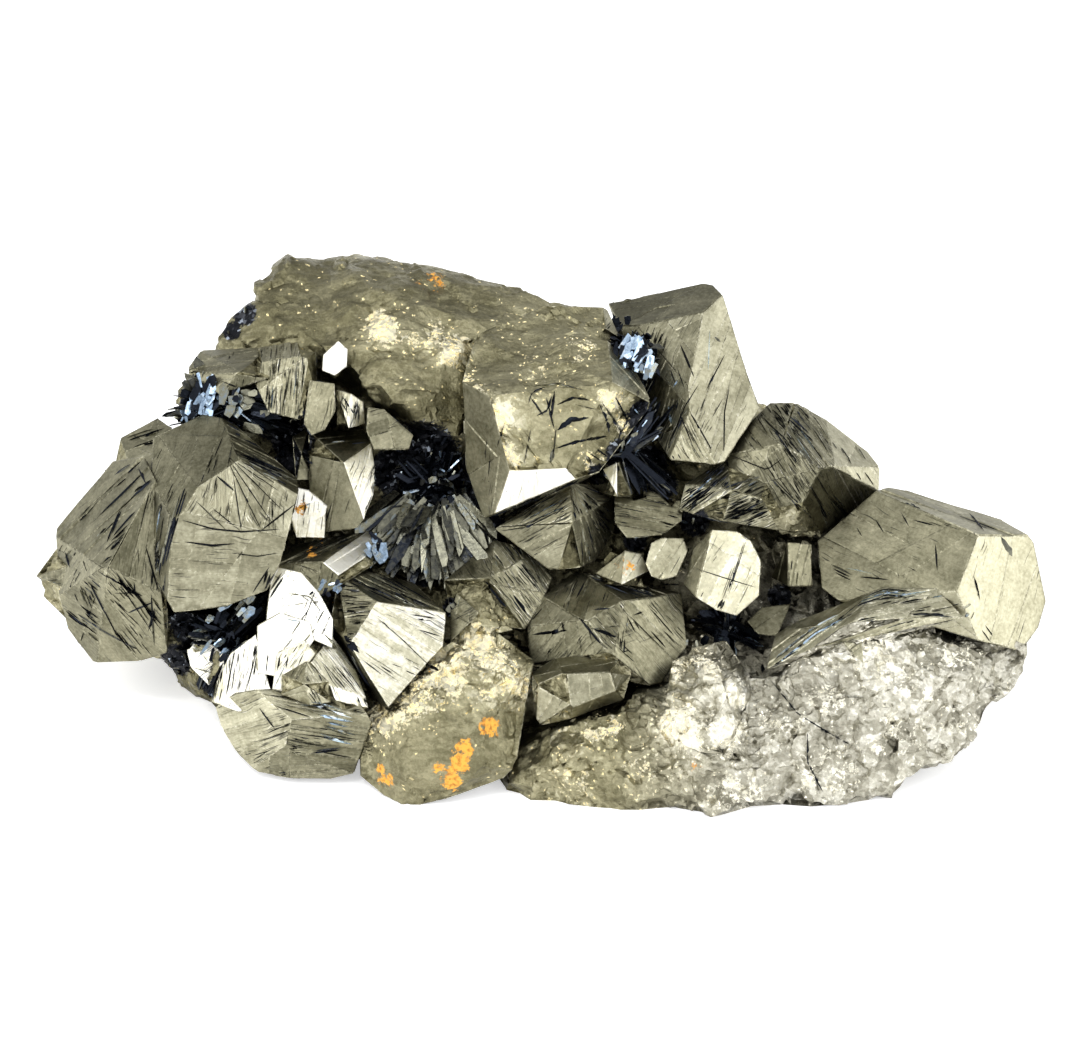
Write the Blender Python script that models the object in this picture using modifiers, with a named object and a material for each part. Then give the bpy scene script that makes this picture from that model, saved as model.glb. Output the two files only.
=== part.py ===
"""A cluster of pyrite crystals on massive pyrite, with nests of black hematite blades between them.

Run with: blender --background --python part.py. Metres, +Z up, the broken underside rests on z = 0.

Most corners are given as a collector would measure them on the specimen seen from its good side: millimetres to the
right, up and towards the viewer, who looks down on it by VIEW_ELEVATION. The back is given in plain X, Y, Z.
"""

import math

import bmesh
import bpy
from mathutils import Matrix, Vector, noise

MM = 0.001

# The good side: how steeply the viewer looks down, and how high the middle of that view is above the surface.
VIEW_ELEVATION = math.radians(35.0)
MIDDLE_HEIGHT = 20.0

# Crystal faces that turn less than this from one another are one face.
SAME_FACE = math.radians(13.0)
# A face smaller than this share of its crystal is left out, and its neighbours meet.
SMALL_FACE = 0.012
# Corners that are nearer than this to one another are one corner.
CLOSE_CORNERS = 0.15

# The massive pyrite: the grid that it is cut to, and how far its broken surface is lumpy.
GRAIN = 3.1
LUMP_SIZE = 9.0
LUMP_HEIGHT = 1.3
CHIP_SIZE = 3.6
CHIP_HEIGHT = 1.0

# Hematite blades, and the gap that separate solids keep.
BLADE_THICKNESS = 0.75
GAP = 0.3

PYRITE_COLOUR = (0.56, 0.52, 0.41, 1.0)
HEMATITE_COLOUR = (0.035, 0.038, 0.048, 1.0)


def clear_scene():
    for item in list(bpy.data.objects):
        bpy.data.objects.remove(item)


def seen(right, up, towards):
    """A point of the good side, in millimetres, as a world point in metres."""
    rise, lean = math.cos(VIEW_ELEVATION), math.sin(VIEW_ELEVATION)
    height = MIDDLE_HEIGHT + up * rise + towards * lean
    return Vector((right, up * lean - towards * rise, height)) * MM


def plain(x, y, z):
    """A point given in plain X, Y and Z, in millimetres."""
    return Vector((x, y, z)) * MM


# The crystals of the good side, each by its corners: right, up, towards.
CRYSTALS = {
    "fan_crystal": [
        (-43, 7, 3.5), (-42, 11.5, 1), (-37, 13.7, 0.5), (-33.5, 12.6, 1), (-26.6, 6.6, 4.5), (-26.6, 5, 6.5),
        (-27.8, 1, 8.2), (-28.4, -2.4, 7.5), (-30, -5.5, 6), (-33.5, -6.8, 7), (-40, -8, 7), (-41.6, -5.2, 6),
        (-41, 1.5, 8), (-40, 2.2, 9.6), (-38, 5, 9), (-35.5, 8, 7.6), (-32.5, 8.6, 7.4),
        (-40, 8, -12), (-30, 8, -10), (-30, -5, -8), (-40, -6, -8),
    ],
    "far_left_crystal": [
        (-47, 8.6, -3), (-43.5, 9, 1), (-42, 5.5, 3.5), (-41, 0, 5), (-41.5, -6, 4.5), (-41, -12.3, -1),
        (-44, -13.3, -3), (-49.3, -13.5, -6), (-52, -9.8, -7), (-52.5, -6, -4.5), (-49, -3.5, 2), (-47, -3.1, 4.5),
        (-45.5, 1.5, 4.5), (-53.2, -0.5, -5.5), (-53.3, 1, -6), (-50, 5, -5),
        (-50, 0, -16), (-44, 6, -15), (-44, -10, -14), (-50, -9, -14),
    ],
    "left_shoulder_crystal": [
        (-46.9, 8, -3.5), (-46.2, 11.3, -5), (-42.2, 13.4, -5.5), (-40.5, 12.4, -3), (-41.5, 8, 1), (-45, 7, 0),
        (-44, 10, -14),
    ],
    "left_tip_crystal": [
        (-53.3, -1, -6), (-55.6, -4, -8), (-54.8, -6.2, -8), (-51, -10, -7), (-50.5, -6, -2), (-50.8, -2.5, -2),
        (-52, -1.2, -4.5), (-52, -4, -16),
    ],
    "striated_crystal": [
        (-31, 21, -3), (-27, 21.9, -2), (-24.6, 20.8, -0.5), (-24.4, 15, 2), (-26.2, 13.2, 2.8), (-29.8, 14, 2.8),
        (-31.2, 17, 2), (-30.6, 19.8, 1), (-25.6, 20, 2.2), (-31, 18, -12), (-26, 18, -10),
    ],
    "striated_lip_crystal": [
        (-38.7, 19, -3), (-37.3, 20.9, -5), (-34, 21.1, -4.5), (-30, 21, -3), (-29.8, 17.8, 2.4), (-33, 18.4, 2),
        (-34.9, 16.2, 1.4), (-36.2, 18.2, 0), (-38.6, 18.2, -2), (-34, 18.5, -10), (-31, 16, -8),
    ],
    "golden_crystal": [
        (-22.4, 16.6, 1.6), (-20.8, 16, 2.6), (-19.4, 15.2, 1.8), (-19.2, 12.8, 2.2), (-21, 12.2, 3.8),
        (-22.3, 12.6, 2.6), (-21, 14, -5),
    ],
    "tall_crystal": [
        (-25.4, 11.6, 0), (-23, 12.1, -0.6), (-19.4, 12, -1.2), (-18.9, 10.6, 0.2), (-18.1, 8, 0.6), (-18.3, 5, 1.2),
        (-19.7, 3, 2.7), (-20.1, 1.3, 2.4), (-24.2, 0.8, 1), (-25.4, 4, 0.9), (-25.3, 9.3, 1.5), (-21.6, 8.6, 2.6),
        (-22, 6, -8),
    ],
    "flat_brown_crystal": [
        (-27.2, 11.4, -0.8), (-25.4, 12.4, -1.4), (-24.8, 9, 0.6), (-25, 6.6, 0.6), (-26.8, 6.6, 1), (-26.2, 9.4, 1.2),
        (-25.6, 9, -8),
    ],
    "rusty_white_crystal": [
        (-27, 5.8, 1), (-23.3, 5.2, 1), (-23.7, 0.3, 3), (-26.8, 0.3, 3.5), (-27.6, 3, 2.5), (-25.5, 3, -5),
    ],
    "bright_band_crystal": [
        (-28.9, -2.6, 3.4), (-27, -0.5, 1), (-19, 1, -1), (-18, -0.8, 0.5), (-18.4, -2.7, 1.5), (-21.5, -4, 4),
        (-24, -6, 5.2), (-28.6, -5.4, 4.8), (-24, -2.6, 4), (-25, -4, -6),
    ],
    "bright_right_crystal": [
        (-26.8, -11, 7), (-22.9, -10.4, 6), (-21.5, -12.6, 6.4), (-20.2, -14.4, 6.8), (-18.8, -18.4, 7.8),
        (-19.3, -20.2, 7.4), (-22.5, -17.6, 9.2), (-23.2, -15.4, 9.2), (-25.6, -13.2, 8.8), (-28.4, -14.4, 7.8),
        (-24, -14, -2),
    ],
    "lined_crystal": [
        (-18, -6.9, 6.2), (-10.4, -8, 5.4), (-10.7, -11.2, 6.4), (-13.5, -15, 8), (-16.8, -17.6, 9.2),
        (-21, -11.5, 8),
        (-20, -3.2, 1.5), (-14, -4.8, 1), (-22.2, -4.5, 3.5), (-23, -9, 5), (-19.5, -15, 5.5), (-17.5, -18.2, 7),
        (-18, -8, -6), (-13, -10, -5), (-17, -14, -4),
    ],
    "lower_left_crystal": [
        (-35.4, -18.4, 1.5), (-33.6, -17.2, 3.4), (-29.4, -16.6, 6.6), (-24.5, -16, 7), (-20.3, -17.4, 7),
        (-18.9, -19.6, 6.5), (-19.3, -22.6, 6.5), (-20.5, -25.2, 4.5), (-22.5, -26.1, 4),
        (-27.5, -26.1, 4), (-31, -25.4, 3), (-33.2, -23.4, 2.5), (-35, -20.2, 1.5), (-30, -17.8, 8),
        (-27, -19.4, 9.2), (-21, -19.2, 8.8), (-27.5, -22.4, 8), (-28, -18, -8), (-22, -18, -6), (-31, -20, -8),
    ],
    "lower_left_pyramid": [
        (-28.5, -16.9, 8.2), (-28.3, -14.8, 8), (-25.6, -13.3, 9), (-23.1, -15.5, 9.4), (-22.9, -17.8, 9),
        (-25.2, -18.2, 9.2), (-25.8, -15.8, 10.8), (-26, -16, 0),
    ],
    "rusty_crystal": [
        (-11.8, -12.6, 5.5), (-7, -9.6, 4.5), (-4.7, -10.2, 5), (-1, -13, 6), (-0.9, -14.6, 6.5), (-1.8, -19.2, 7),
        (-3.2, -22, 8), (-2.9, -24.6, 7.5), (-4, -26, 7), (-10, -28.1, 7.5), (-13.5, -29, 6.5), (-17, -28.1, 5.5),
        (-19.6, -26, 4.5), (-19.8, -23.5, 5.5), (-19.2, -19.3, 6.5), (-13.5, -14.8, 7), (-11, -14, 8.5),
        (-4.2, -14.2, 9), (-6, -20, 10.5), (-14, -20, 10), (-14, -25.5, 9.5), (-6, -24.8, 10),
        (-10, -18, -6), (-4, -18, -4), (-16, -22, -4),
    ],
    "front_domed_crystal": [
        (-1, -14.6, 6), (1.5, -13.2, 5.5), (5, -12.5, 5), (9, -13.1, 5.5), (10, -14.8, 6), (9.2, -17.4, 7),
        (3.2, -19.6, 7.5), (0, -20.2, 7), (-0.6, -18.8, 6.5), (-0.2, -16, 8.8), (2.4, -14.6, 9.4), (7.6, -14.6, 9.2),
        (8.4, -16.6, 9), (3.6, -18.2, 9.8), (4, -16, -3),
    ],
    "centre_crystal": [
        (-1, -13.4, 2.5), (-1.4, -9.2, 2), (0.3, -6.3, 1), (3.5, -3.7, -0.5), (8, -4, 0), (11.5, -5.2, 0.5),
        (15.4, -6, 0.5), (15.9, -9, 1.5), (16.2, -11.6, 2), (14.5, -12.8, 3), (13, -15.6, 4), (9.5, -15.6, 4.5),
        (3, -13, 4.5), (5, -9, 5.5), (9.5, -6.5, 4.5), (8, -12.5, 6.5), (3, -9, -9), (12, -9, -9),
    ],
    "olive_crystal": [
        (-10.5, -4.5, 2), (-5, 0, 0.5), (-1, -1, -0.5), (1.3, -4, -0.5), (0.3, -6.5, 1), (-1.8, -9.8, 3),
        (-4.5, -9, 4), (-9.8, -7.6, 4), (-5.5, -4.5, 4.5), (-4, -4, -8),
    ],
    "brown_step_crystal": [
        (-9.8, -8, 4), (-9, -5.7, 3.5), (-5.8, -5, 3.5), (-3, -9.8, 4.5), (-6.8, -10.4, 5.5), (-9.7, -11.4, 5),
        (-6.8, -8, 6), (-6, -8, -3),
    ],
    "upper_centre_crystal": [
        (-4.9, 1.2, 1.4), (-1, 3.4, 2), (3.4, 6.2, 1.8), (5.2, 6.2, 0.8), (8, 4.4, -0.5), (8.2, 1, -1.5),
        (6.2, -1.8, -0.5),
        (4.5, -3, 1.4), (2.2, -3.2, 2), (0.4, -2.8, 1.8), (-1, -0.6, 1.6), (3.5, 2, 3.8), (2, 1, -9),
    ],
    "top_block_crystal": [
        (-7, 22, -1), (-7.6, 17.2, 4.5), (-8.2, 13, 4.6), (-8.2, 8, 3), (-6.8, 4.6, 2.6), (-5.2, 3, 2.8),
        (-2.6, 4.9, 5.6), (-3.6, 8, 7.6), (2.3, 7.6, 7), (3.8, 6.4, 5.8), (7.4, 8.2, 5), (12, 15.4, 4),
        (9.6, 17.4, 4.4), (7.8, 21.5, 1.4), (7.4, 25.3, -4), (0, 26, -4), (-5.5, 16, 7.7), (8, 16.3, 7),
        (5, 16.8, 7.6), (2, 5, -2), (-5, 10, -10), (5, 10, -10), (7, 20, -12),
    ],
    "upper_right_crystal": [
        (7.6, 26.2, -11), (15, 27.3, -9.5), (17.2, 28, -9), (19.2, 27.7, -8), (20.2, 26.2, -5.5), (24.2, 14.6, -2),
        (21.5, 11, 1.1), (20.2, 8.6, 3), (18.6, 9.5, 3.4), (16.4, 14.5, 2.2), (17.4, 19, -0.5), (17.6, 24.9, -3.5),
        (15.6, 23.4, -3.3), (12.6, 22.5, -3.6), (9, 23.3, -6), (12.4, 18, -2.4), (12.2, 12, -0.8), (14.4, 8.8, 1.6),
        (16, 18, -18), (20, 14, -14), (12, 24, -18),
    ],
    "right_striated_crystal": [
        (20.6, 9.3, 0.5), (23.5, 12.6, -1), (25.3, 15.1, -4), (28, 15.2, -5), (31, 13.5, -5), (36.2, 9.6, -6),
        (37.4, 7.8, -5.5), (37.3, 5.2, -5), (33, 3.2, -3), (30.5, 0.3, -1), (27.5, 0.6, 1), (24, 2.5, 2.5),
        (21, 5.5, 2.5), (26.5, 10.5, 3), (30, 8.5, 3), (29, 4.5, 3.5), (32.5, 8.3, 1.5), (28, 8, -14), (33, 7, -14),
    ],
    "bladed_crystal": [
        (15.3, 3.8, 2), (16, 6.2, 1), (18.5, 7.5, 0.5), (20.5, 8.8, 0), (25, 8.3, 1), (28.3, 5, 0), (29.5, 1.2, 0.5),
        (26, 1.5, 2.5), (20, 1.8, 4), (17, 2.8, 3.5), (21, 5.5, 5), (24.5, 4.5, 4.5), (22, 4, -8),
    ],
    "small_upper_crystal": [
        (6.9, 7.8, 2), (8.5, 8.6, 2.2), (9.8, 8.8, 0.8), (11.1, 5.6, 0.8), (9.9, 4.9, 1.8), (8.5, 4.8, 3.4),
        (6.9, 5.2, 2.4), (9, 6.5, -5),
    ],
    "bright_crystal": [
        (18.8, 1.2, 3.6), (21.6, 1, 3.8), (23.1, 0, 4), (24.2, -2.3, 4.4), (24, -6.1, 4.9), (21.6, -8.3, 5.1),
        (19.3, -7.7, 5), (17.4, -5.6, 4.5), (18.3, -1.8, 4), (15.8, -4.8, 3), (16.1, -4, 2.8), (16.9, -1, 2.4),
        (20, -3, -8),
    ],
    "small_yellow_crystal": [
        (6, -3.6, 1.2), (7.6, -1.3, 0.8), (9.2, -1.1, 1.6), (9, -4.9, 3.4), (7, -4.9, 2), (11.2, -1.6, 1.2),
        (12, -3.4, 1.8), (11.8, -5.2, 2.4), (9, -3, -6),
    ],
    "shaded_crystal": [
        (25.2, 0.2, -1), (25.4, -4, 0), (27.2, -0.2, 1.2), (27.4, -5.2, 2.2), (29.9, -0.4, 0), (30, -5, 0.8),
        (28, -2, -8),
    ],
    "right_crystal": [
        (30.5, 0, -1), (31, -5, 1.5), (33, -6.8, 3.3), (36.8, 5, -1.2), (39, 5.6, -3.5), (42, 5.1, -3.5),
        (47.5, 3, -1.5), (52, 1.2, -1), (48.2, 0.8, 4.8), (54, 0, 0.8), (54.6, -2, 0.5), (55.5, -6.8, 0.5),
        (54.8, -9.6, 1.5), (52.6, -12.2, 3), (47.5, -10.5, 6.2), (46, -5.8, 7.3), (38, -6, 5),
        (40, 0, -16), (50, -2, -14), (48, -10, -10), (36, -3, -14),
    ],
    "ledge_crystal": [
        (24.9, -14.2, 6.5), (25.8, -10.5, 4), (28.3, -8.9, 4), (33.5, -7.2, 4.5), (38, -5.2, 5), (43.5, -5.3, 6.5),
        (46.5, -8.5, 7.6), (40, -8.6, 8.6), (34, -9, 8.4), (29.5, -12, 8), (33, -9, -6), (40, -9, -4),
    ],
    "front_broken_crystal": [
        (14.6, -13.3, 5.5), (16.8, -11.9, 5), (20.2, -11, 4.5), (23.3, -15.2, 5.5), (22.9, -17.6, 7.5),
        (21.8, -21, 10), (20.2, -24, 10.5), (16, -22.5, 11), (13.8, -17.5, 9), (19.6, -13, 9), (20.8, -17.5, 11.5),
        (18, -20.5, 12.3), (19, -16, -3),
    ],
}

# Crystals that show one flat face: its outline (right, up), how far towards the viewer its middle is, how much it
# comes forward per millimetre to the right and up, and how deep the crystal is rooted.
SINGLE_FACED_CRYSTALS = {
    "small_green_crystal": (
        [(-25.3, 17.6), (-22.6, 17.2), (-22.5, 14.2), (-23.6, 12.1), (-25.1, 11.5), (-26, 12.8)], 3.2, 0.1, -0.14, 9),
    "pale_facet_crystal": (
        [(-18.9, 14.6), (-17.2, 14.4), (-13.9, 11.4), (-14.4, 10), (-18.2, 10), (-19, 12)], 4.8, -0.05, -0.2, 8),
    "small_white_crystal": (
        [(-23.9, 20.4), (-22.2, 22), (-21.1, 21), (-21.2, 19), (-22.6, 18), (-24, 18.6)], 1.6, 0, -0.3, 7),
    "bright_left_crystal": (
        [(-29.4, -2.8), (-26.2, -3.6), (-24.2, -5.8), (-22.7, -8.6), (-22.8, -11.8), (-26.5, -9.8), (-30, -8.8)],
        6.6, 0.1, -0.22, 12),
    "bright_white_crystal": (
        [(-31, -9.4), (-28.4, -8), (-25.2, -9), (-24.8, -11), (-26.6, -13.6), (-28.6, -15), (-31, -14.6)],
        7.5, 0.15, -0.12, 10),
    "bright_step_crystal": (
        [(-28.8, -12.4), (-25.8, -11), (-24.6, -12.4), (-26, -13.8), (-27.6, -16.6), (-29.4, -16.4)],
        8.4, 0.3, 0.05, 10),
    "striped_white_crystal": (
        [(-34, -12.4), (-31.2, -10.4), (-30.3, -14), (-29.2, -17.8), (-33, -18.8), (-36.1, -17.8), (-35.6, -15.6)],
        4.4, 0.42, -0.1, 9),
    "white_chip_crystal": (
        [(-38.9, -11.4), (-37, -10.8), (-34.8, -12.4), (-34.6, -14.4), (-36.4, -16), (-38.4, -14)], 2.2, 0.3, -0.1, 8),
    "dark_crystal": (
        [(8.2, 5), (11.5, 5.5), (15.8, 4.2), (15.6, 2.2), (13.4, 0.6), (9.5, 0.2), (8.2, 1.8)], 2, 0.05, -0.4, 10),
    "small_cube_crystal": (
        [(11.6, -2.6), (12.2, -0.3), (13.4, 0.3), (15.8, 0.2), (16.2, -1.2), (14.9, -4), (13.4, -4.4), (12.2, -4)],
        3, 0, -0.35, 9),
    "deep_crystal": (
        [(22.8, -9), (24.4, -7.4), (27.6, -7), (26.8, -9), (26, -10.6), (24, -10.4)], 0.4, 0, -0.5, 9),
}
# How much such a crystal narrows from its face to its root.
ROOT_SHARE = 0.75

# The massive pyrite that carries them: broken, with no faces of its own. These corners are seen from the good side.
MASSIVE_FRONT = {
    "right_foot": [
        (25, -14, 7.4), (33, -8.8, 6.9), (40, -8.3, 6.4), (47, -9.3, 5.9), (55, -11.6, 2.5), (53.4, -15.6, 2),
        (51.6, -18.4, 2.5), (50.2, -21.8, 3), (46.6, -25.2, 4), (44, -27.8, 5), (39, -29.2, 6.3), (34.5, -30, 7.2),
        (28.5, -30.3, 8.2), (24, -30.6, 8.7), (30, -15, 9.4), (40, -14, 9), (45, -12, 7), (30, -24, 10.5),
        (38, -22, 9), (45, -14, -10), (32, -18, -8), (35, -10, -8),
    ],
    "middle_foot": [
        (-2.5, -22.5, 6), (0, -20.7, 5.5), (8, -18.8, 6), (13, -16, 5), (15, -14.8, 5.5), (24.5, -15.2, 6.5),
        (30, -20, 8.5), (29, -30.2, 8), (24, -30.6, 8.6), (19, -31, 8.8), (13.5, -30.4, 8.2), (9, -28.8, 6.5),
        (3, -29.6, 7.5), (-1.2, -29.8, 7), (-3.4, -29, 6.5), (-3.6, -25.3, 6), (2, -24, 9.4), (14, -22, 10),
        (24, -22, 10.4), (5, -22, -5), (20, -20, -5),
    ],
    "top_mass": [
        (-38, 21.4, -6.5), (-36, 23.2, -8), (-33.4, 25.8, -10), (-31.6, 27.8, -11), (-28.9, 31.2, -12),
        (-27.5, 33, -13), (-22, 32, -13), (-15, 32, -12), (-8, 30.2, -11), (-1, 28.8, -10), (7.5, 27, -9),
        (8, 22.5, -6), (-7, 19, 0), (-8, 14, 1.5), (-21, 18.5, 2), (-27, 21.8, -1), (-20, 26, -3.5), (-12, 22, 0),
        (-20, 10, -20), (0, 12, -20),
    ],
    "top_lip": [
        (-21.5, 18, 1), (-19, 14.6, 2.5), (-15, 11, 3.4), (-9.5, 10.6, 3.4), (-7, 13, 2), (-7, 19, 1), (-12, 21, 1),
        (-13, 15, 5), (-19, 18, 3.4), (-12, 13, -6), (-16, 18, -6),
    ],
    "left_foot": [
        (-46, -12, -8), (-43.5, -14, -7), (-40, -14.2, -5), (-36.6, -15.2, -3), (-34.6, -17.6, 0), (-30, -20, 3),
        (-30, -8, -1), (-36, -6, -1), (-42, -6, -1), (-40, -10, -2), (-36, -11, -1), (-34, -5, -10), (-44, -5, -12),
    ],
    "left_neck": [
        (-42, 13, -8), (-40.8, 15.6, -8), (-39.2, 19, -7), (-37, 20.5, -7), (-33, 18, -4), (-30, 13, -3),
        (-37, 11, -3), (-42, 11, -6), (-36, 14, -16),
    ],
    "middle_filling": [
        (-28, 8, -5), (-16, 8, -5), (-5, 0, -5), (8, 0, -6), (18, 6, -6), (30, 0, -8), (30, -8, -7), (20, -12, -5),
        (0, -14, -2), (-20, -10, -2), (-30, -6, -3), (-38, 12, -6), (-30, 14, -6), (10, 18, -6), (20, 12, -8),
        (-20, 0, -20), (20, 0, -20), (-36, 8, -14), (0, 14, -16),
    ],
}

# The hidden side and the core of the mass, in plain X, Y, Z.
MASSIVE_BACK = {
    "core": [
        (-44, 6, -2), (-33, -9.5, -2), (-20, -14, -2), (-13, -18, -2), (25, -18, -2), (37, -15, -2), (43, -7, -2),
        (47, 3, -2), (44, 14, -2), (33, 22, -2), (10, 27, -2), (-20, 27, -2), (-36, 20, -2), (-43, 13, -2),
        (-40, 10, 20), (-36, 18, 18), (-24, 27, 30), (0, 28, 30), (16, 25, 30), (30, 19, 20), (42, 11, 14),
        (-28, 9, 26), (0, 5, 23), (30, 4, 15), (20, 14, 32), (-20, -5, 12), (20, -4, 9),
    ],
    "back_lump": [
        (-30, 20, -2), (-8, 24, -2), (-6, 31, -2), (-26, 29, -2), (-30, 24, 12), (-26, 30, 10), (-10, 32, 14),
        (-6, 28, 24), (-24, 27, 26), (-14, 24, 28), (-4, 25, 10),
    ],
}

# Crystals of the hidden side: middle in X, Y, Z, half-width, and turn about X, Y and Z in degrees.
BACK_CRYSTALS = {
    "back_left_crystal": ((-37, 16, 14), 8.5, (20, 35, 10)),
    "back_low_crystal": ((-14, 27, 9), 8.0, (50, 15, 40)),
    "back_middle_crystal": ((3, 25, 17), 9.0, (10, 40, 25)),
    "back_right_crystal": ((25, 21, 12), 9.0, (35, 10, 60)),
    "back_small_crystal": ((14, 26, 6), 6.0, (60, 30, 5)),
    "back_end_crystal": ((41, 11, 9), 7.5, (15, 25, 75)),
}
# The distance of a pyritohedron's faces from its middle, and of the cube's faces that cut its edges.
PYRITOHEDRON_FACE = 0.86
CUBE_FACE = 0.93

# Hematite nests: middle on the good side, radius of the knot, and blades as (length, width, turn, lean, roll).
# Turn is the blade's direction in the view, lean is how far it points at the viewer, roll turns it about itself.
NESTS = {
    "hematite_nest_upper_left": ((-34.5, 15, -2.5), 2.0, [
        (7.5, 3.2, -14, 2, 75), (7.0, 3.4, 193, 4, 100), (5.0, 3.2, 142, 12, 60), (6.2, 3.0, -24, 6, 95),
        (5.0, 3.0, 165, 8, 80),
    ]),
    "hematite_nest_lower_left": ((-34.5, -10.5, 0.5), 2.2, [
        (6.4, 3.4, 50, 4, 80), (7.2, 3.4, -107, 4, 98), (4.4, 2.8, 160, 6, 60), (5.4, 2.6, -98, 10, 85),
        (4.4, 2.6, 190, 2, 85),
    ]),
    "hematite_nest_centre": ((-11.5, 6.2, -2.0), 3.2, [
        (9.0, 4.4, 224, 6, 72), (10.5, 4.4, 249, 6, 102), (11.0, 4.2, 269, 6, 80), (8.5, 3.8, 317, 6, 96),
        (6.5, 3.6, 200, 12, 60), (6.2, 3.6, 148, 6, 80), (5.8, 3.4, 58, 6, 100), (8.0, 3.4, 291, 14, 112),
    ]),
    "hematite_spray_right": ((9.4, 9.8, 0.6), 1.7, [
        (7.2, 3.0, 54, 4, 78), (7.6, 3.2, -45, 4, 97), (5.2, 2.8, -72, 10, 70), (4.2, 2.6, 184, 6, 60),
        (5.4, 2.6, 30, 12, 105),
    ]),
    "hematite_nest_top": ((10.2, 20.4, -0.6), 2.0, [
        (2.9, 3.0, 84, 15, 25), (4.0, 3.0, -62, 12, 75), (3.6, 3.0, 8, 25, 20), (3.8, 2.8, 142, 15, 50),
        (4.0, 2.8, 230, 12, 85),
    ]),
    "hematite_nest_low_right": ((20.6, -9.8, -1.0), 1.8, [
        (4.8, 2.8, 72, 14, 80), (4.4, 2.6, 168, 8, 60), (4.6, 2.6, -28, 6, 95), (3.8, 2.4, 118, 22, 70),
        (4.4, 2.6, -85, 4, 80),
    ]),
}


def new_object(name, mesh, collection):
    item = bpy.data.objects.new(name, mesh)
    collection.objects.link(item)
    return item


def hull_of(points):
    """The convex hull of the points, as a new bmesh."""
    hull = bmesh.new()
    for point in points:
        hull.verts.new(point)
    shell = bmesh.ops.convex_hull(hull, input=list(hull.verts))
    inside = [item for item in shell["geom_interior"] if isinstance(item, bmesh.types.BMVert)]
    bmesh.ops.delete(hull, geom=inside, context="VERTS")
    bmesh.ops.recalc_face_normals(hull, faces=list(hull.faces))
    return hull


def flat_planes(hull):
    """The hull's faces as planes (point, normal), where faces that nearly share a plane become one."""
    left = sorted(hull.faces, key=lambda face: -face.calc_area())
    whole = sum(face.calc_area() for face in left)
    planes = []
    while left:
        first = left[0]
        group = [face for face in left if face.normal.angle(first.normal) < SAME_FACE]
        left = [face for face in left if face not in group]
        area = sum(face.calc_area() for face in group)
        if area < SMALL_FACE * whole:
            continue
        normal = sum((face.normal * face.calc_area() for face in group), Vector()).normalized()
        point = sum((face.calc_center_median() * face.calc_area() for face in group), Vector()) / area
        planes.append((point, normal))
    return planes


def cleave(planes, middle, size):
    """A block of that size, cut by every plane: what stays is the crystal."""
    block = bmesh.new()
    bmesh.ops.create_cube(block, size=size, matrix=Matrix.Translation(middle))
    for point, normal in planes:
        geometry = list(block.verts) + list(block.edges) + list(block.faces)
        cut = bmesh.ops.bisect_plane(block, geom=geometry, plane_co=point, plane_no=normal, clear_outer=True)
        rim = [item for item in cut["geom_cut"] if isinstance(item, bmesh.types.BMEdge)]
        if rim:
            bmesh.ops.contextual_create(block, geom=rim)
    bmesh.ops.remove_doubles(block, verts=list(block.verts), dist=CLOSE_CORNERS * MM)
    corners = [vertex.co.copy() for vertex in block.verts]
    block.free()
    return hull_of(corners)


def mesh_from(block, name):
    mesh = bpy.data.meshes.new(name)
    block.to_mesh(mesh)
    block.free()
    return mesh


def flat_faced_crystal(name, corners, collection):
    """A crystal with flat faces through its corners."""
    points = [seen(*corner) for corner in corners]
    hull = hull_of(points)
    planes = flat_planes(hull)
    hull.free()
    middle = sum(points, Vector()) / len(points)
    reach = max((point - middle).length for point in points)
    return new_object(name, mesh_from(cleave(planes, middle, 2.3 * reach), name), collection)


def single_faced_corners(outline, level, forward_right, forward_up, depth):
    """The corners of a crystal that shows one flat face and narrows towards its root."""
    middle_right = sum(right for right, _ in outline) / len(outline)
    middle_up = sum(up for _, up in outline) / len(outline)
    corners = []
    for right, up in outline:
        off_right, off_up = right - middle_right, up - middle_up
        corners.append((right, up, level + off_right * forward_right + off_up * forward_up))
        corners.append((middle_right + off_right * ROOT_SHARE, middle_up + off_up * ROOT_SHARE, level - depth))
    return corners


def pyritohedral_crystal(name, middle, half_width, turn, collection):
    """A pyritohedron, pyrite's own twelve-faced form, with its cube's faces on the edges."""
    spin = Matrix.Rotation(math.radians(turn[2]), 3, "Z")
    spin = spin @ Matrix.Rotation(math.radians(turn[1]), 3, "Y") @ Matrix.Rotation(math.radians(turn[0]), 3, "X")
    centre = plain(*middle)
    planes = []
    for axis in range(3):
        for first in (-1, 1):
            along = Vector((0, 0, 0))
            along[axis] = first
            planes.append((along.copy(), CUBE_FACE))
            for second in (-1, 1):
                leaning = Vector((0, 0, 0))
                leaning[axis] = 2 * first
                leaning[(axis + 1) % 3] = second
                planes.append((leaning.normalized(), PYRITOHEDRON_FACE))
    cuts = [(centre + spin @ normal * half_width * MM * far, spin @ normal) for normal, far in planes]
    return new_object(name, mesh_from(cleave(cuts, centre, 3 * half_width * MM), name), collection)


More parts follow.
